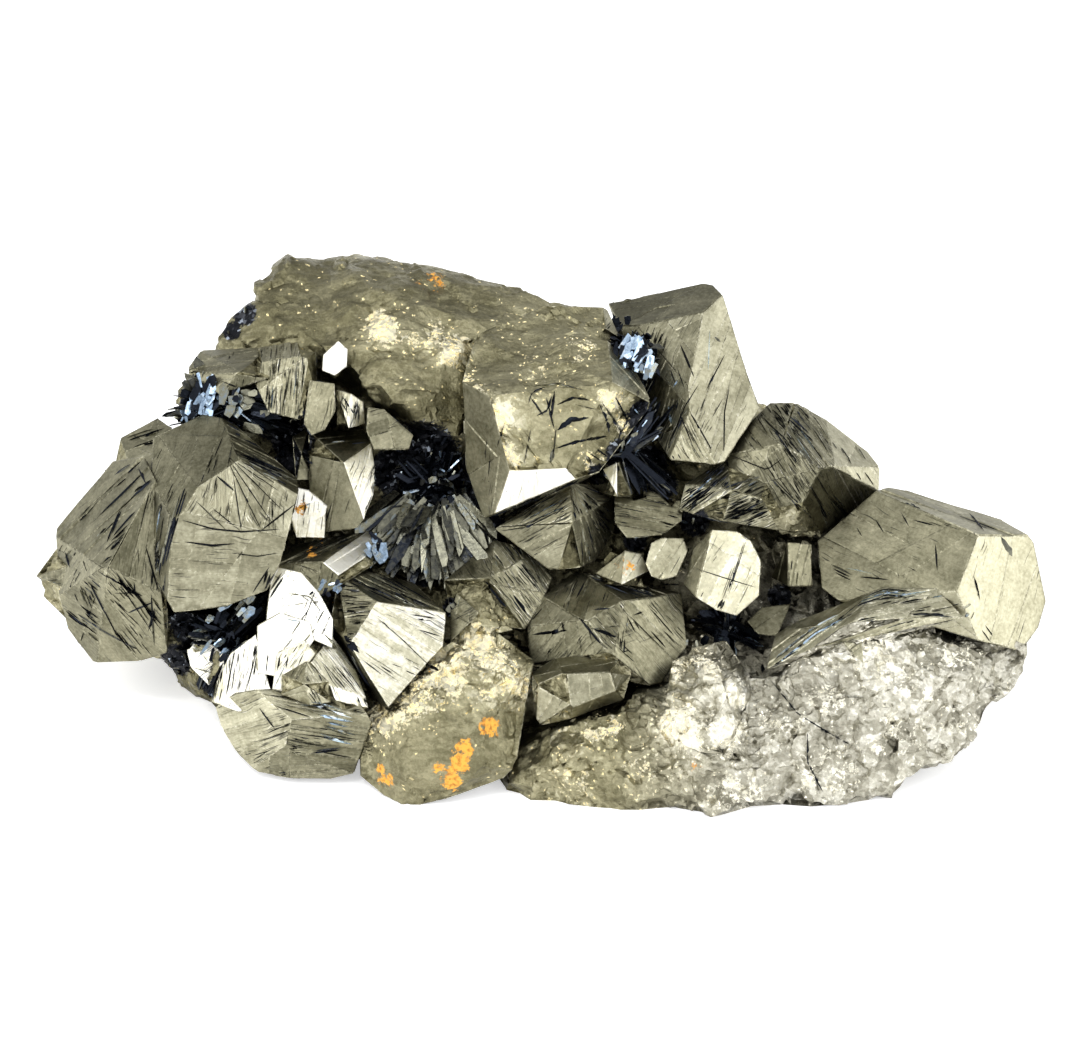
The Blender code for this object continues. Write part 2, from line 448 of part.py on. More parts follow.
def massive_pyrite(collection):
    """All the broken pyrite in one mesh: the blocks are fused on a grid, then made lumpy and chipped."""
    blocks = [[seen(*corner) for corner in corners] for corners in MASSIVE_FRONT.values()]
    blocks += [[plain(*corner) for corner in corners] for corners in MASSIVE_BACK.values()]
    together = bmesh.new()
    for points in blocks:
        hull = hull_of(points)
        piece = mesh_from(hull, "massive_block")
        together.from_mesh(piece)
        bpy.data.meshes.remove(piece)
    item = new_object("massive_pyrite", mesh_from(together, "massive_pyrite"), collection)
    grid = item.modifiers.new("Fused on a grid", "REMESH")
    grid.mode = "VOXEL"
    grid.voxel_size = GRAIN * MM
    mesh = evaluated_mesh(item)
    for vertex in mesh.vertices:
        lump = noise.noise_vector(vertex.co / (LUMP_SIZE * MM)) * LUMP_HEIGHT
        chip = noise.noise_vector(vertex.co / (CHIP_SIZE * MM)) * CHIP_HEIGHT
        vertex.co += (lump + chip) * MM
    bpy.data.objects.remove(item)
    facets = bmesh.new()
    facets.from_mesh(mesh)
    bmesh.ops.triangulate(facets, faces=list(facets.faces))
    facets.to_mesh(mesh)
    facets.free()
    return new_object("massive_pyrite", mesh, collection)


def evaluated_mesh(item):
    """The object's mesh with its modifiers applied."""
    bpy.context.view_layer.update()
    graph = bpy.context.evaluated_depsgraph_get()
    return bpy.data.meshes.new_from_object(item.evaluated_get(graph))


def without_crumbs(mesh):
    """The same mesh with only its largest shell: crumbs that the pockets cut off and closed hollows go."""
    whole = bmesh.new()
    whole.from_mesh(mesh)
    left = set(whole.verts)
    shells = []
    while left:
        shell = set()
        edge_of_search = [left.pop()]
        while edge_of_search:
            vertex = edge_of_search.pop()
            shell.add(vertex)
            for edge in vertex.link_edges:
                other = edge.other_vert(vertex)
                if other in left:
                    left.remove(other)
                    edge_of_search.append(other)
        shells.append(shell)
    largest = max(shells, key=len)
    crumbs = [vertex for vertex in whole.verts if vertex not in largest]
    bmesh.ops.delete(whole, geom=crumbs, context="VERTS")
    whole.to_mesh(mesh)
    whole.free()
    return mesh


def blade_frame(turn, lean, roll):
    """The blade's own axes in the world: X along it, Y across it, Z through its thickness."""
    to_world = Matrix.Rotation(math.pi / 2 - VIEW_ELEVATION, 3, "X")
    in_view = Matrix.Rotation(math.radians(turn), 3, "Z") @ Matrix.Rotation(math.radians(-lean), 3, "Y")
    return to_world @ in_view @ Matrix.Rotation(math.radians(roll), 3, "X")


def hematite_nest(name, middle, knot, blades, extra, collection):
    """Blades that grow out of one knot. Extra is added all round, for the pocket that the nest sits in."""
    centre = seen(*middle)
    block = bmesh.new()
    bmesh.ops.create_icosphere(block, subdivisions=1, radius=(knot + extra) * MM, matrix=Matrix.Translation(centre))
    item = new_object(name, mesh_from(block, name), collection)
    for number, (length, width, turn, lean, roll) in enumerate(blades):
        blade = bmesh.new()
        bmesh.ops.create_cube(blade, size=1.0)
        back = 0.35 * knot
        size = Vector((length + back + 2 * extra, width + 2 * extra, BLADE_THICKNESS + 2 * extra)) * MM
        for vertex in blade.verts:
            taper = 0.55 if vertex.co.x > 0 else 1.0
            vertex.co = Vector((vertex.co.x * size.x, vertex.co.y * size.y * taper, vertex.co.z * size.z))
            vertex.co.x += (length - back) / 2 * MM
        frame = blade_frame(turn, lean, roll)
        for vertex in blade.verts:
            vertex.co = centre + frame @ vertex.co
        cutter = new_object(f"{name}_blade_{number}", mesh_from(blade, name), collection)
        join = item.modifiers.new(f"Blade {number}", "BOOLEAN")
        join.operation = "UNION"
        join.object = cutter
    mesh = evaluated_mesh(item)
    return mesh


def principled(name, colour, roughness):
    """A metallic material of that colour."""
    made = bpy.data.materials.new(name)
    made.use_nodes = True
    shader = made.node_tree.nodes["Principled BSDF"]
    shader.inputs["Base Color"].default_value = colour
    shader.inputs["Metallic"].default_value = 1.0
    shader.inputs["Roughness"].default_value = roughness
    return made


def build():
    clear_scene()
    specimen = bpy.data.collections.new("pyrite_and_hematite_specimen")
    helpers = bpy.data.collections.new("helpers")
    for collection in (specimen, helpers):
        bpy.context.scene.collection.children.link(collection)

    mass = massive_pyrite(helpers)
    grown = bpy.data.collections.new("grown_crystals")
    helpers.children.link(grown)
    for name, corners in CRYSTALS.items():
        flat_faced_crystal(name, corners, grown)
    for name, shape in SINGLE_FACED_CRYSTALS.items():
        flat_faced_crystal(name, single_faced_corners(*shape), grown)
    for name, (middle, half_width, turn) in BACK_CRYSTALS.items():
        pyritohedral_crystal(name, middle, half_width, turn, grown)

    nests = bpy.data.collections.new("nest_helpers")
    pockets = bpy.data.collections.new("pockets")
    helpers.children.link(nests)
    helpers.children.link(pockets)
    hematite = principled("hematite", HEMATITE_COLOUR, 0.3)
    for name, (middle, knot, blades) in NESTS.items():
        mesh = hematite_nest(name + "_maker", middle, knot, blades, 0.0, nests)
        nest = new_object(name, mesh, specimen)
        mesh.materials.clear()
        mesh.materials.append(hematite)
        pocket = hematite_nest(name + "_pocket_maker", middle, knot, blades, GAP, nests)
        new_object(name + "_pocket", pocket, pockets)
        nest.data.name = name

    under = bmesh.new()
    bmesh.ops.create_cube(under, size=1.0)
    room = new_object("below_the_rest_plane", mesh_from(under, "below"), helpers)
    room.scale = (0.3, 0.3, 0.1)
    room.location = (0.0, 0.0, -0.05)

    for crystal in grown.objects:
        join = mass.modifiers.new(crystal.name, "BOOLEAN")
        join.operation = "UNION"
        join.object = crystal
    level = mass.modifiers.new("Rest plane", "BOOLEAN")
    level.operation = "DIFFERENCE"
    level.object = room
    hollow = mass.modifiers.new("Pockets", "BOOLEAN")
    hollow.operation = "DIFFERENCE"
    hollow.operand_type = "COLLECTION"
    hollow.collection = pockets
    pyrite = new_object("pyrite", without_crumbs(evaluated_mesh(mass)), specimen)
    pyrite.data.materials.clear()
    pyrite.data.materials.append(principled("pyrite", PYRITE_COLOUR, 0.32))

    for item in list(helpers.all_objects):
        item.hide_render = True
        item.display_type = "WIRE"


build()
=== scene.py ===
"""The looks of the pyrite and hematite specimen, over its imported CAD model.

Places on the good side are given as they are read off the photograph: millimetres to the right and up in
the picture, and towards the viewer. The pyrite keeps the CAD's crystal faces; each is split into growth
cells, with hematite blades in it. The broken pyrite between them is cut finer and chipped, and coated with
hematite in the gaps.
"""

import math
import random

import bmesh
import bpy
import numpy
from mathutils import Matrix, Vector, noise
from mathutils.bvhtree import BVHTree


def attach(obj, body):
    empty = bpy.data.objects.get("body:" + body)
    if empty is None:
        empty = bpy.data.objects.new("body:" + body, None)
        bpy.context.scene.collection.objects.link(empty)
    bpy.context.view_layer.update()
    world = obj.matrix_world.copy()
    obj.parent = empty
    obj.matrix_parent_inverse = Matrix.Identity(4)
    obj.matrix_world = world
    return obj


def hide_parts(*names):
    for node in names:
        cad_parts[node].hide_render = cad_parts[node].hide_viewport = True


MM = 0.001

# The photograph: its size, what a pixel spans, the pixel that millimetres are counted from, its viewing
# angle, how high the point at that pixel is, in millimetres, and how far off the camera is, in metres.
PHOTO_WIDTH, PHOTO_HEIGHT = 1070, 1055
PIXEL = 0.11
ZERO_PIXEL = (540, 540)
VIEW_ELEVATION = math.radians(35.0)
MIDDLE_HEIGHT = 20.0
CAMERA_DISTANCE = 2.4

# CAD faces smaller than this, in square millimetres, are facets of the broken pyrite, unless they are
# listed.
SMALLEST_CRYSTAL_FACE = 11.0

# Two points or planes of the CAD that are nearer than this are the same one.
SAME_POINT = 0.001
SAME_PLANE = math.radians(0.4)

# Triangles whose normals agree this well, in planes that are this near, belong to one crystal face.
SAME_NORMAL, SAME_LEVEL = 0.99997, 0.02

# The underside's normal has a Z below the first, and its plane is this near the ground. Faces turned to the
# viewer by more than the last show.
DOWNWARD, UNDERSIDE_LEVEL, SHOWN = -0.99, 0.05, -0.1

# Growth cells: the narrowest that gets a groove round it, the groove, how high the cells stand, how far
# they tip, how far that may lift or sink a corner, and how much their brightness differs.
NARROWEST_CELL = 0.12
GROOVE = 0.05
STEP_LOW, STEP_HIGH = 0.01, 0.07
TIP = math.radians(1.3)
DEEPEST_CORNER, HIGHEST_CORNER = -0.04, 0.14
CELL_TONE = 0.035

# Faces that the photograph doesn't show draw their brightness from these.
HIDDEN_TONES = (0.36, 0.4, 0.44, 0.5, 0.58)

# The share of seams and of hematite blades that cross the others in a mosaic, and the turns of those, in
# radians.
CROSSING_SEAMS, CROSSING_HAIRS = 0.42, 0.12
CROSSING_SEAM_TURNS = (1.0, 1.45, -0.9)
CROSSING_HAIR_TURNS = (0.6, 1.1, 1.5, -0.5, -0.9)

# How far the others stray from their direction, in radians, in a fan and elsewhere.
FAN_SEAM_STRAY, SEAM_STRAY = 0.12, 0.09
FAN_HAIR_STRAY, HAIR_STRAY = 0.05, 0.09

# A corner that is nearer than this to a cut lies on it. Cutting ends after this many tries for each cell.
CUT_NEAR = 0.004
TRIES = 4

# Crystal faces aren't quite flat: their longest edge after cutting, on a rim too, and their waves, as
# (size, height).
CRYSTAL_EDGE = 3.2
WAVES = ((7.0, 0.16),)
RIM_EDGE = 1.2

# How deep the edges of crystals are worn, over what length that varies, and what is added to the noise, so
# that most of them are.
EDGE_WEAR, WEAR_LENGTH, WEAR_ADDED = 0.2, 0.9, 0.15

# How often long edges are halved at most.
HALVINGS = 4

# Fine hematite blades on a square millimetre of a face that is full of them, their widths, the longest and
# shortest, how high they rise, how they shine, how many lie in a sheaf and how far apart. All blades on a
# surface start that deep in it, and those in a face end at this share of the way to its rim.
HAIRS = 1.3
HAIR_WIDTHS = (0.07, 0.08, 0.1, 0.12, 0.15, 0.2, 0.3)
LONGEST_HAIR, SHORTEST_HAIR = 8.0, 0.5
HAIR_RISES = (0.1, 0.16)
HAIR_SHINES = (0.0, 0.05, 0.1, 0.2, 0.3, 0.5, 0.6, 0.68)
SHEAF_COUNTS = (3, 5, 8, 12)
SHEAF_GAPS = (0.25, 0.45, 0.8)
SUNK = 0.1
SHORT_OF_RIM = 0.95

# Seams between cells: the shortest that may hold a blade, how many do on a full face, and how high these
# rise.
SHORTEST_SEAM = 0.7
FILLED_SEAMS = 0.6
SEAM_RISES = (0.12, 0.2)

# A listed line is laid down in steps this long, ends where the surface drops by more than that, and stands
# this high.
LINE_STEP, LINE_DROP, LINE_RISE = 0.6, 2.2, 0.16

# Nests: sheaves from this bright on have wide plates that face the viewer, and a knot has this many short
# plates for each millimetre of its radius.
BRIGHT_SHEAF = 0.5
SHORT_PLATES = 40

# The broken pyrite: its longest edge after cutting, on the good side and on the hidden one, its relief,
# coarse to fine, as (size, height), how far its chips lean and differ in level, how much of the relief goes
# where it is smooth, how bright it is where no place is listed, how much that counts beside a listed place,
# how far such a place reaches, as a share of its spread, and the least that the rock glitters.
FINE_EDGE, COARSE_EDGE = 0.6, 1.5
BROKEN_RELIEF = ((5.5, 0.85), (2.3, 0.6), (1.3, 0.26))
CHIP_LEAN, CHIP_STEP = 0.6, 0.35
SMOOTHED = 0.75
BROKEN_TONE = 0.46
BROKEN_WEIGHT = 0.12
TONE_REACH = 0.7
LEAST_GLITTER = 0.04

# It turns silvery right of and below this place, over these distances.
SILVER_PLACE = (8, 4)
SILVER_REACH = (14, 10)

# Points lower than the first height belong to the flat underside. The others stay above the second.
FLAT_HEIGHT, LOWEST_RELIEF = 0.02, 0.03

# Edges sharper than this many degrees stay sharp, on the crystals and on the broken pyrite.
CRYSTAL_CREASE, BROKEN_CREASE = 12, 34

# The lists of places fade out at this many times their spread, and reach no deeper than this from the good
# side.
FADE = 1.5
BACK_DEPTH = -18.0

# Rays that look for the good side start this far out.
FAR_OUT = 80.0

# In a fan's texture a radian is this many millimetres. The seeds of two faces in a row differ by this much.
FAN_RADIAN = 6
SEED_STEP = 0.37

# The plates on coated rock: how many for the square of a place's spread, and how much of the spread they
# cover.
DRUSE_PLATES = 2.0
DRUSE_REACH = 0.9

VIEW_RIGHT = Vector((1, 0, 0))
VIEW_UP = Vector((0, math.sin(VIEW_ELEVATION), math.cos(VIEW_ELEVATION)))
VIEW_OUT = Vector((0, -math.cos(VIEW_ELEVATION), math.sin(VIEW_ELEVATION)))

# Crystal faces of the good side. Each: a point on it (right, up), how bright it is from 0 to 1, the pattern of
# its cells, the direction of their seams in the picture in degrees (or a fan's apex), how many cells, and how
# much hematite lies in it, from 0 to 1. The brightness is the face's own tone together with painted light:
# painted highlights where a face catches the lamps, painted shade where it turns away or lies in shadow.
FACES = [
    # The crystal with the fan, and the ones left of it.
    ((-33, 4), 0.78, "fan", (-34.3, 9.7), 14, 0.6),
    ((-37.2, 10.1), 0.36, "mosaic", 74, 5, 0.15),
    ((-40.5, 6.5), 0.35, "mosaic", 62, 4, 0.2),
    ((-30.8, 9), 0.3, "strips", -28, 9, 0.6),
    ((-32.4, 11.8), 0.32, "strips", -24, 6, 0.4),
    ((-35.4, -2.4), 0.54, "mosaic", -4, 7, 0.2),
    ((-27.4, 3), 0.55, "strips", 80, 4, 0.5),
    ((-41.3, -0.3), 0.36, "strips", 80, 4, 0.7),
    ((-43.8, -0.9), 0.37, "strips", 78, 4, 0.4),
    ((-47.7, 3.3), 0.38, "mosaic", 44, 7, 0.2),
    ((-51, -2.9), 0.38, "mosaic", 60, 5, 0.3),
    ((-49.9, -8), 0.4, "mosaic", -32, 7, 0.35),
    ((-45.1, -9), 0.42, "mosaic", -52, 7, 0.4),
    ((-43.5, 11), 0.44, "mosaic", 20, 7, 0.3),
    ((-53.6, -4), 0.42, "mosaic", 10, 6, 0.5),
    ((-52, -7), 0.4, "mosaic", -40, 6, 0.4),
    # The striated crystal under the top mass, its lip, and the small ones beside it.
    ((-28, 16.5), 0.5, "strips", 84, 18, 0.8),
    ((-30.2, 18.6), 0.46, "strips", 84, 8, 0.7),
    ((-28, 20.8), 0.48, "strips", 82, 8, 0.4),
    ((-25.2, 17), 0.48, "strips", 84, 5, 0.5),
    ((-34.8, 20.6), 0.42, "mosaic", 10, 5, 0.1),
    ((-37, 19.4), 0.4, "mosaic", 10, 5, 0.1),
    ((-34.9, 17.3), 0.48, "plain", 10, 2, 0.0),
    ((-32, 18), 0.36, "strips", 80, 4, 0.3),
    ((-24, 14.8), 0.45, "strips", 76, 3, 0.25),
    ((-21.7, 14.4), 0.86, "strips", 84, 3, 0.9),
    ((-20.1, 14), 0.92, "strips", 84, 3, 0.9),
    ((-16.6, 12.2), 0.44, "mosaic", 20, 4, 0.2),
    ((-22.6, 20), 1.0, "plain", 60, 2, 0.0),
    ((-26.4, 10.6), 0.34, "plain", 10, 2, 0.0),
    ((-25.9, 8), 0.36, "plain", 10, 2, 0.0),
    ((-22.2, 10.6), 0.34, "plain", 10, 3, 0.05),
    ((-19.6, 7), 0.95, "strips", 72, 4, 0.3),
    ((-22.8, 5), 0.42, "plain", 76, 3, 0.03),
    ((-25.3, 3), 0.95, "mosaic", 85, 7, 0.3),
    # The group with painted highlights, and the lined crystal beside it.
    ((-26.3, -1.1), 0.34, "strips", 24, 5, 0.3),
    ((-21.4, -1.9), 1.0, "plain", 38, 2, 0.02),
    ((-26.5, -3.8), 0.7, "strips", 20, 4, 0.1),
    ((-26.4, -7), 1.0, "mosaic", 60, 9, 0.35),
    ((-28.4, -11.4), 1.0, "mosaic", 50, 4, 0.05),
    ((-26.4, -14), 0.98, "strips", 52, 4, 0.3),
    ((-32.6, -14.6), 0.96, "strips", 80, 10, 0.8),
    ((-36.8, -13.4), 0.98, "mosaic", 40, 6, 0.6),
    ((-22.3, -14.1), 0.86, "strips", -52, 6, 0.6),
    ((-24.8, -12.2), 0.92, "strips", -36, 4, 0.3),
    ((-27, -13.9), 0.86, "strips", 60, 5, 0.5),
    ((-21, -17), 0.95, "strips", -62, 6, 0.6),
    ((-26.6, -15.4), 0.45, "strips", 60, 3, 0.2),
    ((-24.3, -14.8), 0.6, "strips", -60, 4, 0.6),
    ((-24.2, -17), 0.66, "strips", -60, 4, 0.8),
    ((-26.6, -17.2), 0.5, "plain", 10, 3, 0.1),
    ((-16.2, -12.3), 0.84, "strips", -30, 10, 0.26),
    ((-12.8, -8.9), 0.88, "strips", -22, 8, 0.8),
    ((-16, -5.7), 0.36, "strips", -26, 10, 0.8),
    ((-20.1, -7.7), 0.42, "strips", 4, 8, 1.0),
    ((-19.5, -14.4), 0.3, "mosaic", -62, 4, 0.3),
    # The lower left crystal.
    ((-31, -20.7), 0.4, "mosaic", 60, 5, 0.12),
    ((-23, -21.3), 0.42, "strips", -8, 8, 0.5),
    ((-25.3, -18.4), 0.62, "strips", -14, 7, 0.5),
    ((-30.5, -17.6), 0.6, "strips", 20, 4, 0.6),
    ((-29.5, -24.7), 0.4, "mosaic", 10, 4, 0.2),
    ((-24.4, -25), 0.42, "strips", 4, 5, 0.3),
    # The domed crystal in front, and the crystal behind it.
    ((4, -16.2), 0.54, "mosaic", 14, 4, 0.02),
    ((0.6, -17.6), 0.56, "mosaic", 60, 3, 0.02),
    ((8.6, -16), 0.5, "mosaic", 60, 3, 0.02),
    ((5.3, -13.9), 0.46, "mosaic", 10, 3, 0.05),
    ((0.2, -14), 0.46, "mosaic", 10, 3, 0.05),
    ((6.1, -18.3), 0.42, "mosaic", 10, 3, 0.05),
    ((3.6, -6.5), 0.4, "mosaic", 66, 6, 0.3),
    ((10.1, -5.5), 0.46, "mosaic", -20, 5, 0.5),
    ((7.7, -9.5), 0.46, "mosaic", -44, 6, 0.9),
    ((2.4, -10.6), 0.35, "mosaic", 50, 6, 0.4),
    ((1.5, -7.7), 0.38, "mosaic", 50, 4, 0.3),
    ((12, -10.5), 0.53, "strips", -46, 10, 1.0),
    ((15.5, -9), 0.42, "mosaic", -48, 3, 0.5),
    # The olive crystal and the small ones round the middle.
    ((-3.6, -1.8), 0.5, "strips", -52, 9, 0.9),
    ((-6.9, -2.9), 0.44, "strips", -50, 6, 0.7),
    ((-1.6, -4), 0.5, "strips", -54, 9, 1.0),
    ((-2, -6.9), 0.46, "strips", -52, 9, 0.9),
    ((-8.4, -8.4), 0.38, "mosaic", 30, 4, 0.3),
    ((0.6, -0.2), 0.42, "mosaic", 30, 5, 0.3),
    ((0.7, 2.9), 0.38, "strips", 40, 6, 0.6),
    ((-1.6, 0.4), 0.44, "mosaic", 30, 4, 0.3),
    ((4.3, -1.6), 0.5, "fan", (3.9, 3), 6, 0.6),
    ((5, 1.2), 0.32, "fan", (3.9, 6), 6, 0.5),
    ((5.5, 2.8), 0.36, "fan", (3.9, 6), 7, 0.7),
    ((0.8, 4.8), 0.44, "strips", 28, 7, 1.0),
    ((2.6, 5.4), 0.5, "strips", 28, 4, 1.0),
    ((4, 4.6), 0.36, "fan", (3.4, 6.4), 5, 0.8),
    # The block right of the top mass.
    ((-6.3, 9.5), 0.46, "mosaic", 86, 4, 0.05),
    ((-0.6, 6.4), 1.0, "strips", 84, 4, 0.1),
    ((9.4, 18.4), 0.5, "mosaic", 60, 5, 0.3),
    # The upper right crystal.
    ((19.5, 18), 0.6, "strips", 70, 7, 0.12),
    ((14.6, 22), 0.5, "mosaic", 66, 6, 0.5),
    ((12, 26), 0.33, "mosaic", 8, 3, 0.02),
    ((15, 25.4), 0.34, "mosaic", 8, 3, 0.02),
    ((13, 20.3), 0.44, "mosaic", 60, 5, 0.5),
    ((13.5, 15.5), 0.42, "strips", 70, 7, 0.8),
    ((16.3, 11.5), 0.5, "strips", -60, 6, 0.5),
    # The right striated crystal and the bladed one under it.
    ((26.4, 14.2), 0.4, "strips", -52, 8, 1.0),
    ((24.9, 13.4), 0.42, "strips", -52, 6, 0.8),
    ((29.5, 11.2), 0.44, "strips", -54, 14, 1.0),
    ((23.5, 10.9), 0.48, "mosaic", -52, 4, 0.3),
    ((23.3, 8.7), 0.46, "mosaic", -52, 4, 0.3),
    ((26.8, 8.1), 0.42, "strips", -58, 9, 0.9),
    ((27.9, 5.7), 0.4, "strips", -56, 9, 0.9),
    ((34.1, 9.9), 0.56, "mosaic", -56, 3, 0.15),
    ((35.6, 7.2), 0.62, "mosaic", -58, 4, 0.1),
    # This face is darkened as a painted cast shadow.
    ((32.3, 4.6), 0.14, "plain", -60, 3, 0.3),
    ((19.3, 6.8), 0.46, "strips", 40, 8, 0.8),
    ((17.8, 4.6), 0.56, "strips", 34, 9, 0.9),
    ((23.9, 2.4), 0.46, "strips", 24, 7, 1.0),
    ((23.6, 6.4), 0.44, "strips", 30, 8, 1.0),
    ((20.4, 3), 0.5, "strips", 26, 9, 1.0),
    # Dark and small crystals right of the middle.
    ((7.7, 6.8), 0.95, "plain", 80, 2, 0.05),
    ((9.6, 6.6), 0.36, "plain", 80, 2, 0.1),
    ((12, 3), 0.3, "strips", -12, 7, 0.5),
    ((14, -2), 0.62, "plain", 60, 3, 0.05),
    ((7.8, -3), 0.44, "plain", 60, 2, 0.1),
    ((10.3, -3), 0.74, "plain", 60, 3, 0.1),
    # This face is darkened as painted shade.
    ((26.4, -2.6), 0.2, "plain", 80, 2, 0.1),
    ((28.8, -2.6), 0.38, "plain", 80, 3, 0.1),
    ((25.2, -8.6), 0.34, "plain", 30, 2, 0.05),
    # The bright cream crystal.
    ((21.2, -3.4), 0.76, "mosaic", 66, 6, 0.12),
    ((17.2, -3), 0.4, "plain", 60, 2, 0.05),
    # The big right crystal and the ledge under it.
    ((38.6, -1.1), 0.41, "mosaic", -24, 6, 0.12),
    ((45.6, 2.8), 0.5, "mosaic", -20, 4, 0.08),
    ((50.6, -5.5), 0.6, "plain", 74, 3, 0.03),
    ((28.4, -11.3), 0.56, "strips", 34, 6, 0.1),
    ((32.5, -8.2), 0.6, "strips", 36, 5, 0.2),
    ((38.7, -6.4), 0.62, "strips", 10, 9, 0.4),
    ((39.3, -7.7), 0.66, "strips", 10, 9, 0.4),
    ((43.6, -7.5), 0.62, "strips", 10, 7, 0.4),
    ((39.1, -9.7), 0.62, "strips", 16, 6, 0.2),
    ((34, -11.3), 0.6, "strips", 40, 7, 0.2),
    ((45.9, -8.9), 0.62, "mosaic", 16, 4, 0.2),
]

# Crystal faces of the CAD that are broken surfaces here, each by a point on it.
BROKEN_FACES = [
    (0.3, 20.9), (-10.4, -12.8), (-6.7, -12.6), (-2.9, -12.6), (-8.8, -17.3), (-3.6, -15.9), (-3.7, -20.5),
    (-14.3, -17.6), (-16.6, -22.1), (-8.4, -21.8), (-11.3, -23.6), (-16.8, -26.2), (-11, -26.8),
    (-6.2, -26.2), (16.1, -14.8), (18.3, -16.9), (21.7, -14.6), (21.9, -18), (20.4, -20.7), (16.6, -20),
    (18.6, -12.2), (-23.2, 27.9), (31.6, -14.6), (14, -26.4), (0, 12.4), (7.5, 12.5),
]

# How bright the broken pyrite is: where, how far it spreads, and how bright. It is the rock's own tone together
# with painted light: the darkest places are painted shade in the gaps between crystals, the brightest painted
# highlights.
BROKEN_TONES_AND_LIGHT = [
    ((-16, 27), 14, 0.39), ((-28, 27), 7, 0.34), ((-13, 15), 7, 0.4), ((0, 21), 6, 0.52),
    ((-7, -13), 5, 0.62), ((-2.5, -16), 3, 0.78), ((-15, -18.5), 4, 0.58), ((-12, -22), 6, 0.44),
    ((-11, -26), 7, 0.42), ((6, -24), 8, 0.5), ((18, -20), 6, 0.66), ((15.6, -20.5), 3, 0.98),
    ((20.4, -20.4), 2.4, 0.95), ((20.6, -16.4), 2.6, 0.9), ((18, -14), 4, 0.6), ((27, -22), 8, 0.58),
    ((28, -13), 4, 0.52), ((38, -15), 9, 0.68), ((36.6, -11), 3, 0.85), ((38, -23), 9, 0.6),
    ((48, -14), 7, 0.68), ((-9.6, 20.4), 2.6, 0.9), ((-17.4, 23.2), 2.6, 0.8), ((-13, 22.4), 3, 0.66),
    ((-5, 13.4), 3, 0.84), ((-3.8, 9), 2, 0.66), ((2.6, 14.6), 3.4, 0.5), ((2.8, 10.6), 3.4, 0.5),
    ((8.4, 14.4), 2.4, 0.7), ((-21, 13), 1.8, 0.15), ((-28, 9), 3, 0.15), ((6, -1), 3, 0.18),
    ((12, -6), 3, 0.18), ((17.5, -10), 3, 0.16), ((27, -5), 4, 0.18), ((31, 1), 2.4, 0.18),
    ((23, -11.5), 3.4, 0.04), ((-28.6, -1), 2.4, 0.18), ((-1.2, -12), 1.8, 0.06),
    ((-0.8, -20.6), 1.4, 0.06), ((-10.6, -6.6), 2.6, 0.3), ((-10, 0), 6, 0.2), ((10, 0), 4, 0.18),
    ((12, 12), 4, 0.24), ((-36, -8), 4, 0.1), ((16, 2), 3, 0.2), ((-18, -16), 2, 0.2),
]

# Where the broken pyrite glitters, as painted highlights on crumblier relief: place, how far it spreads, and
# how strongly.
GLITTER = [
    ((-9.4, 20.6), 2.2, 1.0), ((-11.4, 22.4), 2.2, 0.72), ((-17.4, 23.2), 2.2, 0.98),
    ((-14.4, 22.6), 2.6, 0.62), ((-8.2, 18), 1.8, 0.6), ((-6.6, -11.6), 3.2, 0.86),
    ((-10.4, -14), 3.6, 0.86), ((-4.4, -13), 2.4, 0.8), ((-14, -17), 3.2, 0.84),
    ((-17.4, -19.6), 2.8, 0.88), ((-2.6, -16), 2.0, 0.95), ((-5.6, -16.6), 1.8, 0.7),
    ((-10.8, -17.6), 2.2, 0.62), ((15.4, -20.2), 2.6, 1.0), ((16.8, -22.6), 1.8, 0.86),
    ((20.6, -21.6), 2.2, 1.0), ((21, -17.2), 1.9, 0.9), ((14.6, -14), 2.2, 0.74),
    ((18.5, -13.5), 2.4, 0.74), ((36.6, -10.8), 2.6, 0.88), ((31, -13.4), 3.0, 0.66),
    ((39, -14.6), 4.0, 0.7), ((45.6, -12.6), 3.2, 0.68), ((40, -20), 4.0, 0.64), ((33, -25), 4.0, 0.62),
    ((46, -20), 3.2, 0.62), ((26, -20), 3.6, 0.6), ((31.6, -17.6), 2.6, 0.7), ((35.4, -14), 1.6, 0.78),
    ((42.4, -17), 1.4, 0.76), ((37, -22.4), 1.4, 0.72), ((29, -26.4), 1.4, 0.72), ((6, -21), 2.0, 0.72),
    ((3, -26), 3.6, 0.6), ((12, -25), 3.6, 0.6), ((22, -28), 4.0, 0.68), ((8, -20.4), 1.6, 0.76),
    ((0, 19), 3.0, 0.56), ((4.6, 21), 2.4, 0.62), ((-4, 24), 3.0, 0.4), ((-26, 25), 4.0, 0.15),
    ((-18, 28), 5.0, 0.15), ((-5.2, 13.6), 2.5, 0.95), ((-3.6, 9.6), 1.6, 0.9), ((-6.4, 16), 1.4, 0.86),
    ((7.8, 15.4), 1.7, 0.92), ((9.2, 12.8), 1.3, 0.88), ((5.6, 9), 1.4, 0.76), ((3, 13), 2.6, 0.2),
    ((-14, 13), 5.0, 0.2),
]

